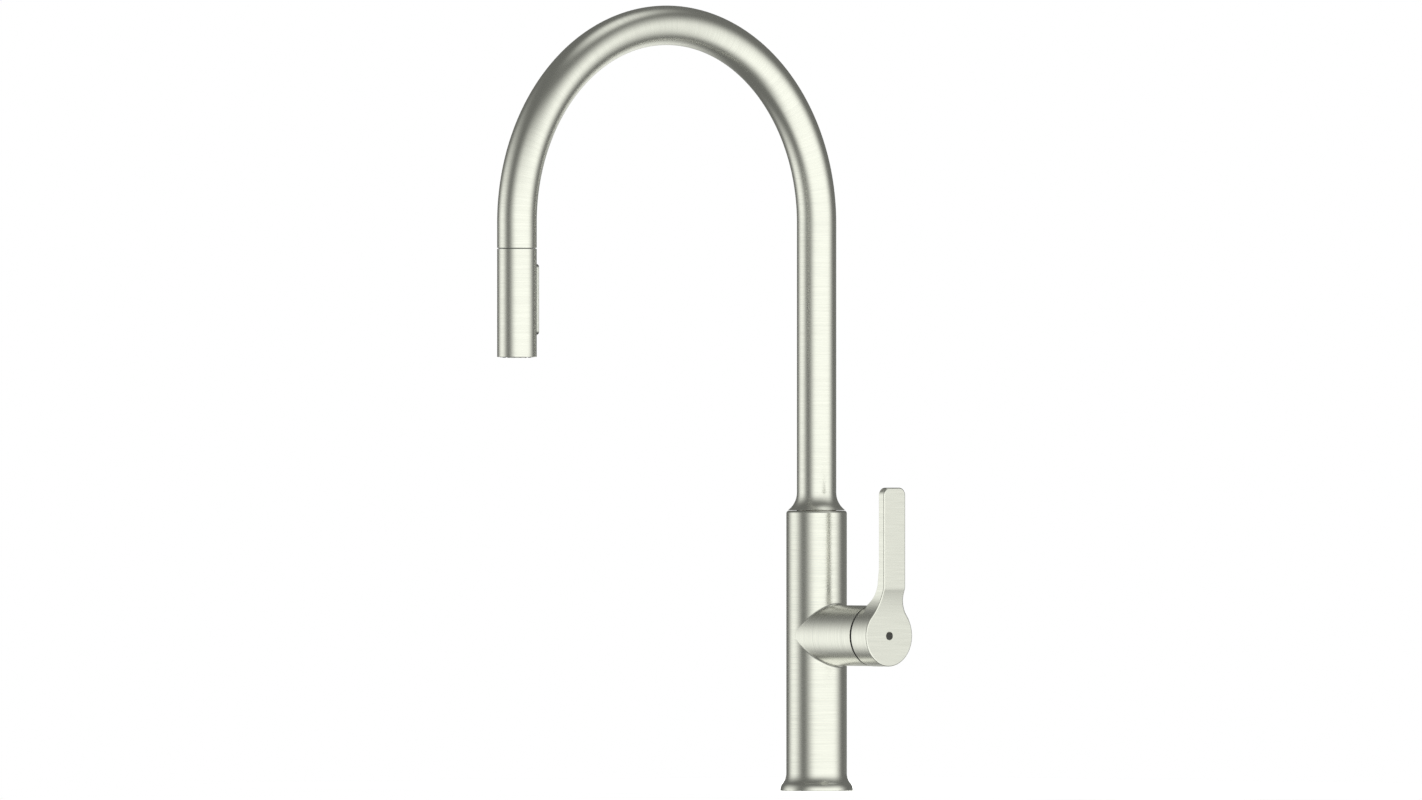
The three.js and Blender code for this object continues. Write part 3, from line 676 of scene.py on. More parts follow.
def make_hose_coupling():
    """The nut on the hose's fixed end, with a groove round it."""
    low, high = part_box("hose_coupling")
    outer, bore = high.x, 3.5 * MM
    depth, slant = 0.7 * MM, 0.8 * MM
    groove_low, groove_high = low.z + 6.8 * MM, low.z + 8.6 * MM
    profile = (
        (bore, low.z, 0.3 * MM), (outer, low.z, 0.4 * MM), (outer, groove_low - slant, 0.3 * MM),
        (outer - depth, groove_low, 0.2 * MM), (outer - depth, groove_high, 0.2 * MM),
        (outer, groove_high + slant, 0.3 * MM), (outer, high.z, 0.4 * MM), (bore, high.z, 0.2 * MM),
    )
    turned_piece("hose_coupling", "column", BRASS, rounded(*profile))


# ---------------- spout

ARCH_STEPS = 150


def make_spout():
    edge = SEAM_EDGE
    end = ARCH_END + SPRING - SPOUT_END
    r, bore = TUBE_R, TUBE_BORE
    runs = [
        straight((r, TUBE_FOOT), (r, SPRING), 6),
        straight((r, SPRING), (r, ARCH_END), ARCH_STEPS),
        straight((r, ARCH_END), (r, end - edge)),
        bend((r - edge, end - edge), edge, 0, 90),
        straight((r - edge, end), (bore + edge, end)),
        bend((bore + edge, end - edge), edge, 90, 180),
        straight((bore, end - edge), (bore, ARCH_END)),
        straight((bore, ARCH_END), (bore, SPRING), ARCH_STEPS // 2),
        straight((bore, SPRING), (bore, TUBE_FOOT)),
        straight((bore, TUBE_FOOT), (r, TUBE_FOOT)),
    ]
    turned_piece("spout_tube", "spout", NICKEL, runs, along_spout, name="gooseneck_tube")


def make_collar():
    """The hollow ring that sweeps in from the column's top to the tube, which it just clears."""
    inner = TUBE_R + 0.002 * MM
    drop = degrees(asin((COLLAR_TOP - COLLAR_FOOT) / COLLAR_HOLLOW))
    side = bend((inner + COLLAR_HOLLOW, COLLAR_TOP), COLLAR_HOLLOW, 180 + drop, 180, 20)
    foot = straight((inner, COLLAR_FOOT), side[0][0])
    bore = straight((inner, COLLAR_TOP), (inner, COLLAR_FOOT))
    turned_piece("spout_collar", "spout", NICKEL, [foot, side, bore])


def make_dock():
    """The bush that the wand's neck slides into, with a thin flange in the seam, and its magnet."""
    _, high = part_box("dock_bush")
    inner, outer, edge = 9.8 * MM, 11.3 * MM, 0.3 * MM
    flange, seam = TUBE_R - 0.8 * MM, WAND_TOP + 0.1 * MM
    profile = (
        (inner, seam, edge), (flange, seam, 0), (flange, SPOUT_END, 0),
        (outer, SPOUT_END, 0), (outer, high.z, edge), (inner, high.z, edge),
    )
    turned_piece("dock_bush", "spout", GREY_PLASTIC, rounded(*profile), on_wand)
    low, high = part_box("dock_magnet")
    magnet = ring_profile(inner, outer, low.z, high.z, edge, edge)
    turned_piece("dock_magnet", "spout", MAGNET, magnet, on_wand)


# ---------------- spray hose


STRANDS = 12
STRAND_PITCH = 9 * MM


def braid():
    """A woven nylon sleeve: two sets of strands that wind opposite ways round the hose."""
    material, nodes, shader = new_material("braided_sleeve", 0.0)
    x, y, _ = nodes.split(nodes.grain())
    _, _, z = nodes.split(nodes.place())
    strands = nodes.math("MULTIPLY", nodes.math("ARCTAN2", x, y), STRANDS)
    climb = nodes.math("MULTIPLY", z, 2 * pi / STRAND_PITCH)
    right = nodes.math("SINE", nodes.math("ADD", strands, climb))
    left = nodes.math("SINE", nodes.math("SUBTRACT", strands, climb))
    weave = nodes.math("MAXIMUM", right, left)
    colour = nodes.blend(nodes.remap(weave, -0.2, 1.0), (0.07, 0.075, 0.08), (0.24, 0.25, 0.26))
    nodes.dress(shader, colour, 0.55, nodes.bump(weave, 0.25 * MM))
    return material


HOSE_R = 6.5 * MM
HOSE_END = ARCH_END - 12.1 * MM  # the hose meets the ferrule a little above the end of the arch
HOSE_DRAWN = HOSE_END - 13 * MM  # from here on, it is drawn out of the spout with the wand
HOSE_BORE = HOSE_R - 1.6 * MM
HOSE_STEPS, HOSE_SIDES = 60, 40


def hose_skin(start, end):
    """A stretch of the hose between two distances along the spout, with its two cut ends."""
    bent = max(start, SPRING)
    runs = [
        straight((HOSE_R, bent), (HOSE_R, end), HOSE_STEPS),
        straight((HOSE_R, end), (HOSE_BORE, end)),
        straight((HOSE_BORE, end), (HOSE_BORE, bent), HOSE_STEPS),
        straight((HOSE_BORE, start), (HOSE_R, start)),
    ]
    if start < bent:
        runs.append(straight((HOSE_R, start), (HOSE_R, bent)))
        runs.append(straight((HOSE_BORE, bent), (HOSE_BORE, start)))
    skin = Skin()
    lathe(skin, runs, along_spout, full_turn(HOSE_SIDES))
    return skin


def make_hose():
    """The braided hose along the spout, and its last stretch, which the wand draws out of the spout."""
    low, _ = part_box("spray_hose")
    sleeve = braid()
    fixed = hose_skin(low.z, HOSE_DRAWN - 0.05 * MM)
    piece("spray_hose", fixed, "spout", sleeve, "spray_hose_sleeve")
    hose = piece("spray_hose", hose_skin(HOSE_DRAWN, HOSE_END), None, sleeve, "spray_hose_drawn")
    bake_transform(hose)


# ---------------- spray wand

WINDOW_HALF = BUTTON_HALF + 0.12 * MM
WINDOW_LONG = BUTTON_LONG + 0.6 * MM
WINDOW_CORNER = 2.3 * MM
SHELL_COLUMNS = 80


def window_sides():
    """Where the window's columns lie across it, and how high its edge is there, from its middle."""
    inner = WINDOW_HALF - WINDOW_CORNER
    cosines, sines = quarter_turn(6).T
    corner = inner + WINDOW_CORNER * sines
    height = WINDOW_LONG - WINDOW_CORNER + WINDOW_CORNER * cosines
    level = np.linspace(-inner, inner, 7)[1:-1]
    across = np.concatenate([-corner[::-1], level, corner])
    return across, np.concatenate([height[::-1], np.full(len(level), WINDOW_LONG), height])


def window_angles(radius):
    """The shell's columns in the window's width, from its -X side on, and those of the rest."""
    across, _ = window_sides()
    inside = pi / 2 - np.arcsin(across / radius)
    return inside, np.linspace(inside[0], inside[-1] + 2 * pi, SHELL_COLUMNS + 1)


def wand_angles(radius):
    """The shell's columns: right round from one side of the window to the other, and then across it."""
    inside, outside = window_angles(radius)
    return np.concatenate([outside, inside[::-1][1:] + 2 * pi])


def make_spray_shell():
    skin = Skin()
    edge = 0.3 * MM
    across, height = window_sides()
    straight_part = WINDOW_LONG - WINDOW_CORNER
    bottom = RIM + edge
    for radius, top, facing in ((WAND_R, WAND_TOP - SEAM_EDGE, 1), (WAND_BORE, WAND_TOP, -1)):
        inside, outside = window_angles(radius)
        levels = (bottom, BUTTON_MIDDLE - straight_part, BUTTON_MIDDLE + straight_part, top)
        stretches = [(outside, low, high) for low, high in zip(levels, levels[1:])]
        stretches += [(inside, bottom, BUTTON_MIDDLE - height), (inside, BUTTON_MIDDLE + height, top)]
        for angles, low, high in stretches:
            wall(skin, radius, angles, low, high, (0, -REACH), facing, 1)
    add_window_lining(skin, across, height)
    rim = rounded((WAND_BORE, bottom, 0), (WAND_BORE + edge, RIM, 0), (WAND_R, RIM, edge),
                  (WAND_R, bottom, 0), closed=False)
    top = rounded((WAND_R, WAND_TOP - SEAM_EDGE, 0), (WAND_R, WAND_TOP, SEAM_EDGE),
                  (WAND_BORE, WAND_TOP, 0), closed=False)
    lathe(skin, [*rim[:-1], *top[1:]], on_wand, wand_angles)
    piece("spray_shell", skin, "wand", NICKEL)


def add_window_lining(skin, across, height):
    """The window's edge through the shell's wall: the sides go straight in, towards the wand's axis."""
    loop_x = np.concatenate([across, across[::-1], across[:1]])
    loop_z = np.concatenate([height, -height[::-1], height[:1]])
    inner = WINDOW_HALF - WINDOW_CORNER
    spoke_x = loop_x - np.clip(loop_x, -inner, inner)
    spoke_z = loop_z - np.clip(loop_z, WINDOW_CORNER - WINDOW_LONG, WINDOW_LONG - WINDOW_CORNER)
    normals = -join(spoke_x, 0, spoke_z) / np.hypot(spoke_x, spoke_z)[:, None]
    wall_y = [np.sqrt(radius**2 - loop_x**2) - REACH for radius in (WAND_R, WAND_BORE)]
    skin.sheet([join(loop_x, y, BUTTON_MIDDLE + loop_z) for y in wall_y], normals)


def pad_outline(inset):
    """A rectangle with round corners, as places and directions across and up, counted from its middle."""
    quarters = [np.linspace(start, start + 90, 9) for start in range(0, 360, 90)]
    spokes = spokes_at(np.radians(np.concatenate(quarters)))
    corners = np.repeat([(1, 1), (-1, 1), (-1, -1), (1, -1)], 9, axis=0)
    middles = corners * (BUTTON_HALF - BUTTON_CORNER, BUTTON_LONG - BUTTON_CORNER)
    places = middles + (BUTTON_CORNER - inset) * spokes
    return np.append(places, places[:1], 0), np.append(spokes, spokes[:1], 0)


def make_button():
    """A long rocker with softly rounded edges and a slightly crowned face."""
    skin = Skin()
    edge = 0.7 * MM
    crown = 0.12 * MM
    face = BUTTON_OUT - crown

    def ring(inset, depth, inward, outward):
        places, spokes = pad_outline(inset)
        points = join(places[:, 0], depth - REACH, BUTTON_MIDDLE + places[:, 1])
        return points, inward * join(spokes[:, 0], 0, spokes[:, 1]) + outward * Y

    rows = [ring(0, BUTTON_INNER, 1, 0)]
    for cosine, sine in quarter_turn(6):
        rows.append(ring(edge * (1 - cosine), face - edge * (1 - sine), cosine, sine))
    skin.sheet(*zip(*rows))
    points, normals = rows[-1]
    limit = BUTTON_LONG - BUTTON_HALF
    ridge_z = BUTTON_MIDDLE + np.clip(points[:, 2] - BUTTON_MIDDLE, -limit, limit)
    ridge = join(0, points[:, 1], ridge_z)
    shares = np.linspace(0, 1, 6)
    rises = crown * (1 - (1 - shares) ** 2)
    crowned = [points + (ridge - points) * share + rise * Y for share, rise in zip(shares, rises)]
    skin.sheet(crowned, normals)
    back = rows[0][0]
    skin.sheet([back, join(0, back[:, 1], ridge_z)], -Y)
    piece("spray_button", skin, "rocker", BUTTON_PLASTIC)


NOZZLE_COUNT = 14
NOZZLE_RING = 8.8 * MM
NOZZLE_R = 0.7 * MM
NOZZLE_TIP = RIM - 0.45 * MM
FACE_LOW = RIM - 0.2 * MM
AERATOR_LOW = RIM - 0.55 * MM
FACE_INNER, FACE_OUTER = 6.6 * MM, 11.1 * MM
NOZZLE_ANGLES = [360 * i / NOZZLE_COUNT for i in range(NOZZLE_COUNT)]


def make_spray_face():
    """The end plate: a flat ring with a hole for each nozzle."""
    _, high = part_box("spray_face")
    holes = (NOZZLE_ANGLES, NOZZLE_RING, NOZZLE_R + 0.3 * MM, 0, 6)
    skin = pierced_ring(FACE_INNER, FACE_OUTER, FACE_LOW, high.z, 0.25 * MM, holes, -REACH)
    piece("spray_face", skin, "wand", GREY_PLASTIC)


def make_nozzles():
    """The silicone mat, with soft tapered nozzles that grow out of it."""
    _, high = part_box("nozzle_mat")
    mat_z = high.z - 1.4 * MM
    tip_r, bore = NOZZLE_R - 0.12 * MM, 0.28 * MM
    bore_end = NOZZLE_TIP + 1 * MM
    skin = Skin()
    around = []
    for centre, turn, outline in ring_cells(FACE_INNER, FACE_OUTER, NOZZLE_ANGLES, NOZZLE_RING, 6):
        hole = cell(skin, outline, centre, NOZZLE_R, flat_lift(mat_z, -1, -REACH))
        nozzle = rounded(
            (0, bore_end, 0), (bore, bore_end, 0), (bore, NOZZLE_TIP, 0.08 * MM),
            (tip_r, NOZZLE_TIP, 0.2 * MM), (NOZZLE_R, mat_z, 0), closed=False,
        )
        lathe(skin, nozzle, upright(centre[0], centre[1] - REACH), hole)
        around.extend(turn[:-1])
    mat = ring_profile(FACE_INNER, FACE_OUTER, mat_z, high.z, 0, 0)
    lathe(skin, mat[1:], on_wand, np.array([*around, around[0] + 2 * pi]))
    piece("nozzle_mat", skin, "wand", BLACK_RUBBER)


def make_aerator():
    """An outer ring, three thin rings set back inside it, and the flat ring that they stand on."""
    _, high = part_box("stream_aerator")
    outer, inner, middle_bore = high.x, high.x - 1 * MM, 1.5 * MM
    edge, thin_edge, half_thin = 0.2 * MM, 0.1 * MM, 0.3 * MM
    low = AERATOR_LOW + 1.2 * MM
    runs = ring_profile(inner, outer, AERATOR_LOW, high.z, edge, edge)
    runs += ring_profile(middle_bore, inner, high.z - 4 * MM, high.z - 3 * MM, 0, 0)
    skin = Skin()
    lathe(skin, runs, on_wand)
    for middle in (1.9 * MM, 3.1 * MM, 4.3 * MM):
        thin = ring_profile(middle - half_thin, middle + half_thin, low, high.z, thin_edge, 0)
        lathe(skin, thin, on_wand, full_turn(48))
    piece("stream_aerator", skin, "wand", WHITE_PLASTIC)


def make_wand_core():
    """The core: a shoulder at the seam, a neck with a groove, and a well that takes the ferrule."""
    low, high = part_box("spray_core")
    core, shoulder_r, neck, well, bore = 9.6 * MM, 11.1 * MM, 9.5 * MM, 7.9 * MM, 5 * MM
    shoulder, well_floor = WAND_TOP - 5 * MM, 362 * MM
    groove_low, groove_high, groove_r = high.z - 5 * MM, high.z - 3 * MM, neck - 0.5 * MM
    edge = 0.1 * MM
    profile = (
        (bore, low.z, 0), (core, low.z, 0.3 * MM), (core, shoulder, 0), (shoulder_r, shoulder, 0),
        (shoulder_r, WAND_TOP, 0.3 * MM), (neck, WAND_TOP, 0.2 * MM), (neck, groove_low, edge),
        (groove_r, groove_low, edge), (groove_r, groove_high, edge), (neck, groove_high, edge),
        (neck, high.z, 0.6 * MM), (well, high.z, 0.2 * MM), (well, well_floor, 0), (bore, well_floor, 0),
    )
    turned_piece("spray_core", "wand", GREY_PLASTIC, rounded(*profile), on_wand)


def make_ferrule():
    """The crimped sleeve on the hose's end, with three dents round it."""
    low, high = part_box("hose_ferrule")
    outer, bore, dent = 7 * MM, 3 * MM, 0.45 * MM
    first, apart, slant, long = 1.7 * MM, 2.1 * MM, 0.4 * MM, 1.5 * MM
    profile = [(bore, low.z, 0.1 * MM), (outer, low.z, 0.4 * MM)]
    for i in range(3):
        foot = low.z + first + i * apart
        profile += [(outer, foot, 0.2 * MM), (outer - dent, foot + slant, 0.15 * MM)]
        profile += [(outer - dent, foot + long - slant, 0.15 * MM), (outer, foot + long, 0.2 * MM)]
    profile += [(outer, high.z, 0.3 * MM), (bore, high.z, 0.1 * MM)]
    turned_piece("hose_ferrule", "wand", STEEL, rounded(*profile), on_wand, full_turn(64))


# ---------------- lever handle

FACE_EDGE = 0.9 * MM
BACK_EDGE = 0.4 * MM
HUB_BACK_EDGE = 0.1 * MM
TOP_COLUMNS = 12
HUB_COLUMNS = 72
HOLE_R = 2.3 * MM  # the set screw's hole
HOLE_DEPTH = 4 * MM
HOLE_REACH = 4  # columns of the hub's side that the hole's cell takes on each side of it
HOLE_ROOM = 3.6 * MM  # what the cell takes behind the hole's middle


def smoothstep(value, low, high):
    share = min(max((value - low) / (high - low), 0.0), 1.0)
    return share * share * (3 - 2 * share)


def lever_front(height):
    if height <= STEP_FROM:
        return HUB_FACE
    if height <= STEP_FROM + STEP_HOLLOW * sin(STEP_TURN):
        return HUB_FACE + STEP_HOLLOW - sqrt(STEP_HOLLOW**2 - (height - STEP_FROM) ** 2)
    if height < STEP_TO:
        return LEVER_FRONT - STEP_ROUND + sqrt(STEP_ROUND**2 - (STEP_TO - height) ** 2)
    return LEVER_FRONT


def lever_back(height):
    lowest = max(height, HUB_R)
    if lowest >= SWEEP_END:
        return LEVER_BACK
    return LEVER_BACK - SWEEP_R + sqrt(SWEEP_R**2 - (SWEEP_END - lowest) ** 2)


def slope_of(curve, height):
    tiny = 0.05 * MM
    return (curve(height + tiny) - curve(height - tiny)) / (2 * tiny)


def side_outline():
    """The lever's +Y side from the hub to the middle of its top: places and directions across and up."""
    neck = spokes_at(pi + NECK_TURN * np.linspace(1, 0, 15))
    corner = quarter_turn(10)
    straight_top = LEVER_TOP - LEVER_CORNER
    step, plain = np.linspace(NECK_H, STEP_TO, 13), np.linspace(STEP_TO, straight_top, 6)
    heights = np.concatenate([step[1:], plain[1:-1]])
    places = (
        (NECK_Y, NECK_H) + NECK_R * neck,
        join(LEVER_HALF, heights),
        (LEVER_HALF - LEVER_CORNER, straight_top) + LEVER_CORNER * corner,
    )
    return np.concatenate(places), np.concatenate([-neck, join(1, 0 * heights), corner])


def depths(curve, heights):
    return np.array([curve(height) for height in heights])


def handle_points(depth, places):
    """Places across and up from the handle's axis, at a depth along X, in the frame."""
    return join(depth, places[:, 0], HANDLE_Z + places[:, 1])


def handle_normals(spokes):
    """Directions across and up, in the frame."""
    return join(0, spokes[:, 0], spokes[:, 1])


def face_lift(curve, side):
    """Takes places across and up to the front or back face, where the brush lines run level."""
    def lift(places):
        heights = places[:, 1]
        slopes = np.array([slope_of(curve, height) for height in heights])
        normals = side * join(1, 0, -slopes) / np.hypot(1, slopes)[:, None]
        return handle_points(depths(curve, heights), places), normals, join(places[:, 0], 0, heights)
    return lift


def level_row(half, height):
    """Places straight across the lever at a height."""
    return join(np.linspace(-half, half, TOP_COLUMNS + 1), height)


def side_grain(points):
    return [row[:, [1, 0, 2]] for row in points]


def make_handle():
    skin = Skin()
    places, spokes = side_outline()
    face = [level_row(*place) for place in places - FACE_EDGE * spokes]
    lift_rows(skin, face, face_lift(lever_front, 1))
    add_lever_back(skin, places, spokes)
    add_lever_sides(skin, places, spokes)
    add_hub(skin)
    piece("lever_handle", skin, "lever", NICKEL)


def back_edge(height):
    """The rounding of the lever's back edge fades out where the lever grows out of the hub."""
    return BACK_EDGE * smoothstep(height, HUB_R * 0.7, HUB_R * 1.3)


def add_lever_back(skin, places, spokes):
    """The back face: level rows, and below them a patch that ends on the hub's round rim."""
    insets = np.array([place - back_edge(place[1]) * spoke for place, spoke in zip(places, spokes)])
    first = int(np.searchsorted(places[:, 1], HUB_R * 1.2))  # the row where the patch ends
    rows = [level_row(*place) for place in insets[first:]]
    lift_rows(skin, rows, face_lift(lever_back, -1))
    turn = np.linspace(-(pi / 2 - NECK_TURN), pi / 2 - NECK_TURN, TOP_COLUMNS + 1)
    bottom = HUB_R * join(np.sin(turn), np.cos(turn))
    share = np.linspace(0, 1, TOP_COLUMNS + 1)[:, None]
    patch = []
    for i in range(first + 1):
        up = i / first
        level = (1 - up) * bottom + up * rows[0]
        sides = (1 - share) * insets[i] * np.array((-1, 1)) + share * insets[i]
        ends = (1 - share) * level[0] + share * level[-1]
        patch.append(level + sides - ends)
    lift_rows(skin, patch, face_lift(lever_back, -1))


def front_edge(places, spokes):
    """The rounded edge between front face and sides, along an outline: rows of points and normals."""
    _, facing, _ = face_lift(lever_front, 1)(places)
    front = depths(lever_front, places[:, 1])
    points, normals = [], []
    for cosine, sine in quarter_turn(5):
        inset = places - FACE_EDGE * (1 - sine) * spokes
        points.append(handle_points(front - FACE_EDGE * (1 - cosine), inset))
        normals.append(cosine * facing + sine * handle_normals(spokes))
    return points, normals


def add_lever_sides(skin, places, spokes):
    """The lever's rim, from the +Y side over the top to the -Y side, rounded at the front and back."""
    top = level_row(LEVER_HALF - LEVER_CORNER, LEVER_TOP)[::-1][1:-1]
    mirror = np.array((-1, 1))
    places = np.concatenate([places, top, places[::-1] * mirror])
    spokes = np.concatenate([spokes, [(0, 1)] * len(top), spokes[::-1] * mirror])
    sideways = handle_normals(spokes)
    front = depths(lever_front, places[:, 1]) - FACE_EDGE
    back = depths(lever_back, places[:, 1])
    edges = depths(back_edge, places[:, 1])
    _, behind, _ = face_lift(lever_back, -1)(places)
    points, normals = front_edge(places, spokes)
    for i in range(1, 6):
        share = i / 6
        points.append(handle_points((1 - share) * front + share * (back + edges), places))
        normals.append(sideways)
    for cosine, sine in quarter_turn(5):
        inset = places - (edges * (1 - cosine))[:, None] * spokes
        points.append(handle_points(back + edges * (1 - sine), inset))
        normals.append(cosine * sideways + sine * behind)
    skin.sheet(points, normals, side_grain(points))


def add_hub(skin):
    """The hub: its flat face round the inlay, its rim with the set screw's hole, and its hollow back."""
    gap = pi / 2 - NECK_TURN  # half the angle that the lever takes of the hub's rim
    rim = np.linspace(gap, 2 * pi - gap, HUB_COLUMNS + 1)  # clockwise from straight up, from the front
    spokes = join(np.sin(rim), np.cos(rim))
    rim_places = (HUB_R - FACE_EDGE) * spokes
    outline = np.concatenate([rim_places, level_row(*rim_places[0])[1:]])
    recess_r = inlay_high.y + 0.3 * MM
    recess_x = inlay_low.x - 0.3 * MM
    recess = cell(skin, outline, (0, 0), recess_r, face_lift(lever_front, 1), 12)
    floor = rounded((recess_r, HUB_FACE, 0), (recess_r, recess_x, 0), (0, recess_x, 0), closed=False)
    lathe(skin, floor, along_boss, pi / 2 + recess)  # the lathe counts its angles from straight down
    points, normals = front_edge(HUB_R * spokes, spokes)
    skin.sheet(points, normals, side_grain(points))
    junction = lever_back(HUB_R)
    add_hub_rim(skin, rim, junction)
    top = np.linspace(-gap, gap, TOP_COLUMNS + 1)
    back_x = HUB_BACK + HUB_BACK_EDGE
    lathe(skin, [straight((HUB_R, junction), (HUB_R, back_x))], along_boss, pi - top)
    lip_r = HUB_R - 0.6 * MM
    lip = (lip_r, PIVOT_X + sqrt(HUB_BALL**2 - lip_r**2))
    edge = rounded((HUB_R, back_x, 0), (HUB_R, HUB_BACK, HUB_BACK_EDGE), (*lip, 0), closed=False)[1:]
    lip_turn, socket_turn = degrees(acos(lip_r / HUB_BALL)), degrees(acos(SOCKET_R / HUB_BALL))
    hollow = bend((0, PIVOT_X), HUB_BALL, socket_turn, lip_turn, 10)
    socket_x = PIVOT_X + sqrt(HUB_BALL**2 - SOCKET_R**2)
    socket = rounded((SOCKET_R, socket_x, 0), (SOCKET_R, SOCKET_END, 0), (0, SOCKET_END, 0), closed=False)
    lathe(skin, [*edge, hollow, *socket], along_boss, pi - np.concatenate([top, rim[1:]]))


def add_hub_rim(skin, rim, junction):
    """The hub's side outside the lever, with a round hole at the bottom for the set screw."""
    front_x, back_x = HUB_FACE - FACE_EDGE, HUB_BACK + HUB_BACK_EDGE
    levels = np.array([*np.linspace(front_x, junction, 9), *np.linspace(junction, back_x, 5)[1:]])
    around = (rim - pi) * HUB_R
    columns = len(rim)
    front = depths(lever_front, HUB_R * np.cos(rim)) - FACE_EDGE

    def lift(flat):
        turn = pi + flat[:, 0] / HUB_R
        spoke = join(0, np.sin(turn), np.cos(turn))
        points = HUB_R * spoke + join(flat[:, 1], 0, HANDLE_Z)
        return points, spoke, join(-HUB_R * np.cos(turn), HUB_R * np.sin(turn), flat[:, 1])

    def patch(first, last, rows):
        span = slice(first, last + 1)
        lift_rows(skin, [join(around, depth)[span] for depth in rows], lift)

    left = columns // 2 - HOLE_REACH
    right = columns // 2 + HOLE_REACH
    patch(0, left, [front, *levels[1:]])
    patch(right, columns - 1, [front, *levels[1:]])
    low_row = int(np.argmin(np.abs(levels - (SCREW_X - HOLE_ROOM))))
    patch(left, right, levels[low_row:])
    across, along = around[left : right + 1], levels[: low_row + 1]
    outline = np.concatenate([
        [(place, along[0]) for place in across],
        [(across[-1], level) for level in along[1:]],
        [(place, along[-1]) for place in across[-2::-1]],
        [(across[0], level) for level in along[-2::-1]],
    ])
    hole = cell(skin, outline, (0, SCREW_X), HOLE_R, lift, 3)
    mouth, _, _ = lift((0, SCREW_X) + HOLE_R * spokes_at(hole))
    floor_z = HANDLE_Z - HUB_R + HOLE_DEPTH
    floor = join(mouth[:, 0], mouth[:, 1], floor_z)
    skin.sheet([mouth, floor], -join(np.sin(hole), -np.cos(hole), 0))
    skin.sheet([floor, join(SCREW_X + 0 * hole, 0, floor_z)], -Z)


def disc_profile(r, bottom, top, low_edge, high_edge):
    return rounded((0, bottom, 0), (r, bottom, low_edge), (r, top, high_edge), (0, top, 0), closed=False)


def make_inlay():
    profile = disc_profile(inlay_high.y, inlay_low.x, inlay_high.x, 0, 0.2 * MM)
    turned_piece("index_inlay", "lever", DARK_INLAY, profile, along_boss, full_turn(64), "index_dot")


def make_plug():
    low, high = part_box("screw_hole_plug")
    profile = disc_profile((high.x - low.x) / 2, low.z, high.z, 0.3 * MM, 0)
    turned_piece("screw_hole_plug", "lever", GREY_PLASTIC, profile, upright(SCREW_X, 0), full_turn(48))


# ---------------- CAD pieces that keep their shape

CARRIED_OVER = {
    BRASS: ("valve_block", "cartridge_nut", "spout_spigot", "hose_nut"),
    COPPER: ("hot_water_tube", "mixed_water_tube", "cold_water_tube"),
    STEEL: ("turret_pin", "cartridge_stem", "handle_set_screw", "spout_clip", "button_pin"),
    CERAMIC: ("fixed_ceramic_disc", "moving_ceramic_disc"),
    WHITE_PLASTIC: ("cartridge_base", "disc_carrier", "cartridge_housing", "upper_swivel_bush",
                    "lower_swivel_bush", "diverter_spool", "check_valve"),
    GREY_PLASTIC: ("cartridge_turret",),
    BLACK_RUBBER: ("cartridge_seal", "spout_o_ring"),
}


def finish_carried_over():
    for material, names in CARRIED_OVER.items():
        for name in names:
            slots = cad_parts[name].material_slots
            for slot in slots:
                slot.material = material


# ---------------- camera, floor and light

CAMERA_AZIMUTH = radians(49.3)
CAMERA_ELEVATION = radians(0.1)
CAMERA_DISTANCE = 23.495
CAMERA_TARGET = Vector((-45.53, -52.88, 258.1)) * MM
TOWARDS = Vector((sin(CAMERA_AZIMUTH), -cos(CAMERA_AZIMUTH), 0))  # from the faucet towards the camera
RIGHT = Vector((cos(CAMERA_AZIMUTH), sin(CAMERA_AZIMUTH), 0))


def make_camera():
    data = bpy.data.cameras.new("camera")
    data.lens = 900
    data.sensor_width = 36
    data.clip_start = 1
    data.clip_end = 100
    camera = add_object("camera", data)
    back = TOWARDS * cos(CAMERA_ELEVATION) + Vector((0, 0, sin(CAMERA_ELEVATION)))
    camera.location = CAMERA_TARGET + back * CAMERA_DISTANCE
    camera.rotation_euler = back.to_track_quat("Z", "Y").to_euler()
    bpy.context.scene.camera = camera


def make_floor():
    """A pale deck that ends in front of the column, as at a sink, so that the wand can hang past it."""
    mesh = bpy.data.meshes.new("floor")
    wide, far, near = 0.5, 0.5, -0.13
    corners = [(-wide, near, 0), (wide, near, 0), (wide, far, 0), (-wide, far, 0)]
    mesh.from_pydata(corners, [], [(0, 1, 2, 3)])
    floor = add_object("floor", mesh)
    material, nodes, shader = new_material("pale_floor", 0.0)
    speckle = nodes.noise(nodes.place(), (40, 40, 40), 3.0)
    nodes.dress(shader, nodes.blend(speckle, (0.90, 0.90, 0.89), (0.93, 0.93, 0.92)), 0.8)
    mesh.materials.append(material)
    floor.visible_glossy = False
    floor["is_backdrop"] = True


# The studio's soft screens: the direction that each stands in, counted from the camera's to the right, its
# half width where it is fully bright and where it has faded out, its lower and its upper edge as (dark,
# bright) heights, all in degrees, and its brightness.
SCREENS = (
    (32, 35, 81, (-86, -38), (60, 2), 0.99),
    (-97, 4, 44, (-58, -16), (50, -4), 0.90),
    (160, 5, 42, (-62, -30), (2, -16), 0.75),
)
AMBIENT = 0.15
CEILING = 0.72  # the brightness of a round soft light overhead, which fades out round its middle
CEILING_TURN, CEILING_HEIGHT = 125, 75
CEILING_FULL, CEILING_FADED = 5, 30
STUDIO_TINT = (0.985, 1.0, 0.93)
LAMP_SIZE, LAMP_HEIGHT, LAMP_ENERGY = 3, 3, 190  # a lamp that lights the deck and isn't reflected


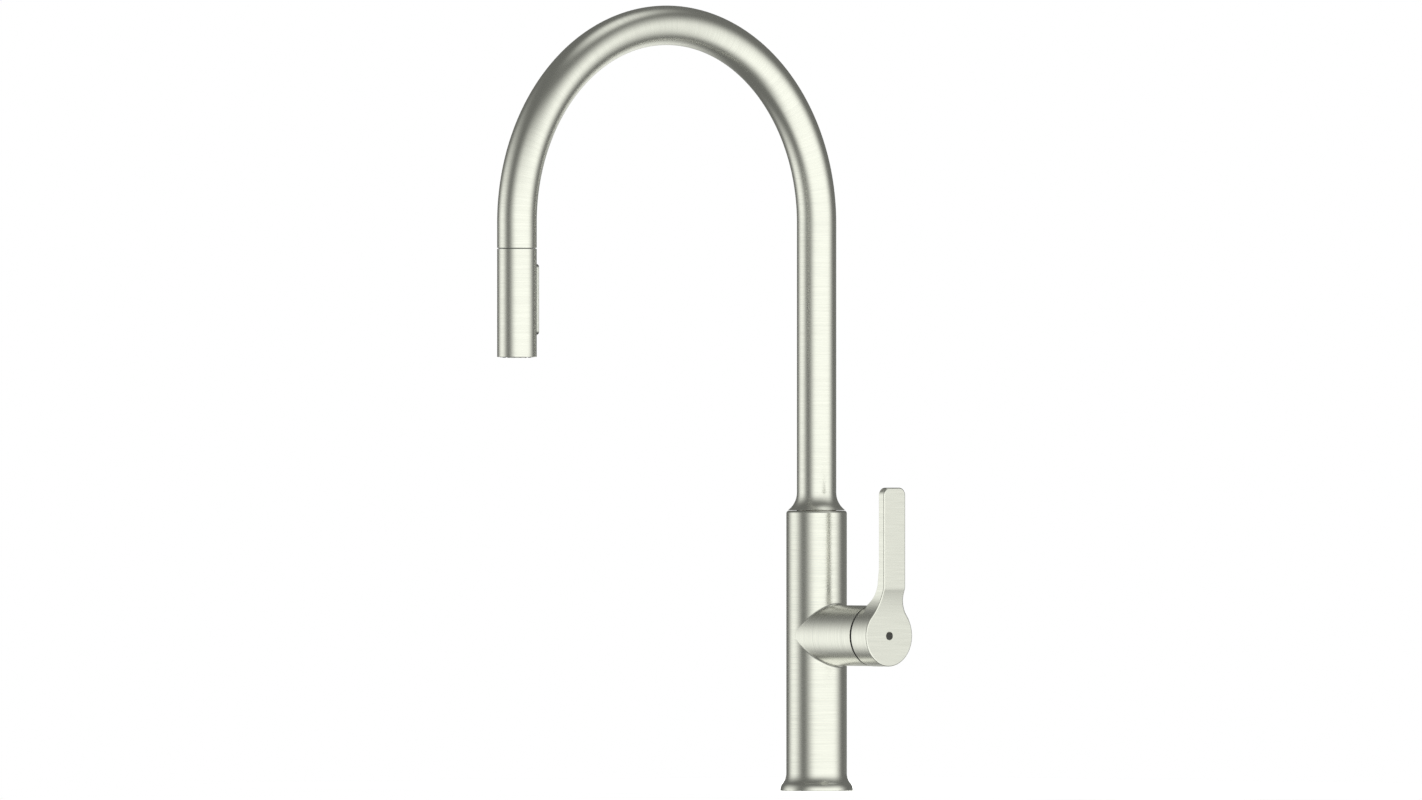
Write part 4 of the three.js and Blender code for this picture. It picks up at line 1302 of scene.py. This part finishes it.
def make_light():
    world = bpy.data.worlds.new("studio")
    bpy.context.scene.world = world
    world.use_nodes = True
    tree = world.node_tree
    tree.nodes.clear()
    nodes = Nodes(tree)
    direction = nodes.add("ShaderNodeTexCoord").outputs["Generated"]

    def share_of(axis):
        node = nodes.add("ShaderNodeVectorMath", operation="DOT_PRODUCT")
        nodes.feed(node.inputs[0], direction)
        node.inputs[1].default_value = axis
        return node.outputs["Value"]

    level = nodes.math("DEGREES", nodes.math("ARCSINE", share_of((0, 0, 1))))
    turn, height = radians(CEILING_TURN), radians(CEILING_HEIGHT)
    overhead = (TOWARDS * cos(turn) + RIGHT * sin(turn)) * cos(height) + Vector((0, 0, sin(height)))
    off = nodes.math("DEGREES", nodes.math("ARCCOSINE", share_of(overhead)))
    light = nodes.remap(off, CEILING_FULL, CEILING_FADED, AMBIENT + CEILING, AMBIENT, smooth=True)
    for middle, bright, faded, lower, upper, strength in SCREENS:
        turn = radians(middle)
        facing = TOWARDS * cos(turn) + RIGHT * sin(turn)
        beside = RIGHT * cos(turn) - TOWARDS * sin(turn)
        away = nodes.math("ABSOLUTE", nodes.math("ARCTAN2", share_of(beside), share_of(facing)))
        screen = nodes.remap(away, radians(bright), radians(faded), strength, 0.0, smooth=True)
        for dark, full in (lower, upper):
            screen = nodes.math("MULTIPLY", screen, nodes.remap(level, dark, full, smooth=True))
        light = nodes.math("ADD", light, screen)
    studio = nodes.add("ShaderNodeBackground")
    studio.inputs["Color"].default_value = (*STUDIO_TINT, 1)
    nodes.feed(studio.inputs["Strength"], light)
    white = nodes.add("ShaderNodeBackground")
    white.inputs["Color"].default_value = (1, 1, 1, 1)
    mix = nodes.add("ShaderNodeMixShader")
    nodes.feed(mix.inputs[0], nodes.add("ShaderNodeLightPath").outputs["Is Camera Ray"])
    nodes.feed(mix.inputs[1], studio.outputs[0])
    nodes.feed(mix.inputs[2], white.outputs[0])
    output = nodes.add("ShaderNodeOutputWorld")
    nodes.feed(output.inputs["Surface"], mix.outputs[0])
    lamp = bpy.data.lights.new("floor_light", "AREA")
    lamp.size = LAMP_SIZE
    lamp.energy = LAMP_ENERGY
    lamp_object = add_object("floor_light", lamp)
    lamp_object.location = (0, 0, LAMP_HEIGHT)
    lamp_object.visible_glossy = False
    bpy.context.scene.view_settings.view_transform = "Standard"


make_camera()
make_floor()
make_light()
make_body()
make_bonnet()
make_underside()
make_hose_coupling()
make_spout()
make_collar()
make_dock()
make_hose()
make_spray_shell()
make_button()
make_spray_face()
make_nozzles()
make_aerator()
make_wand_core()
make_ferrule()
make_handle()
make_inlay()
make_plug()
finish_carried_over()

SEEN_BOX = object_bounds()
[[list(corner) for corner in box] for box in (CAD_BOX, SEEN_BOX)]
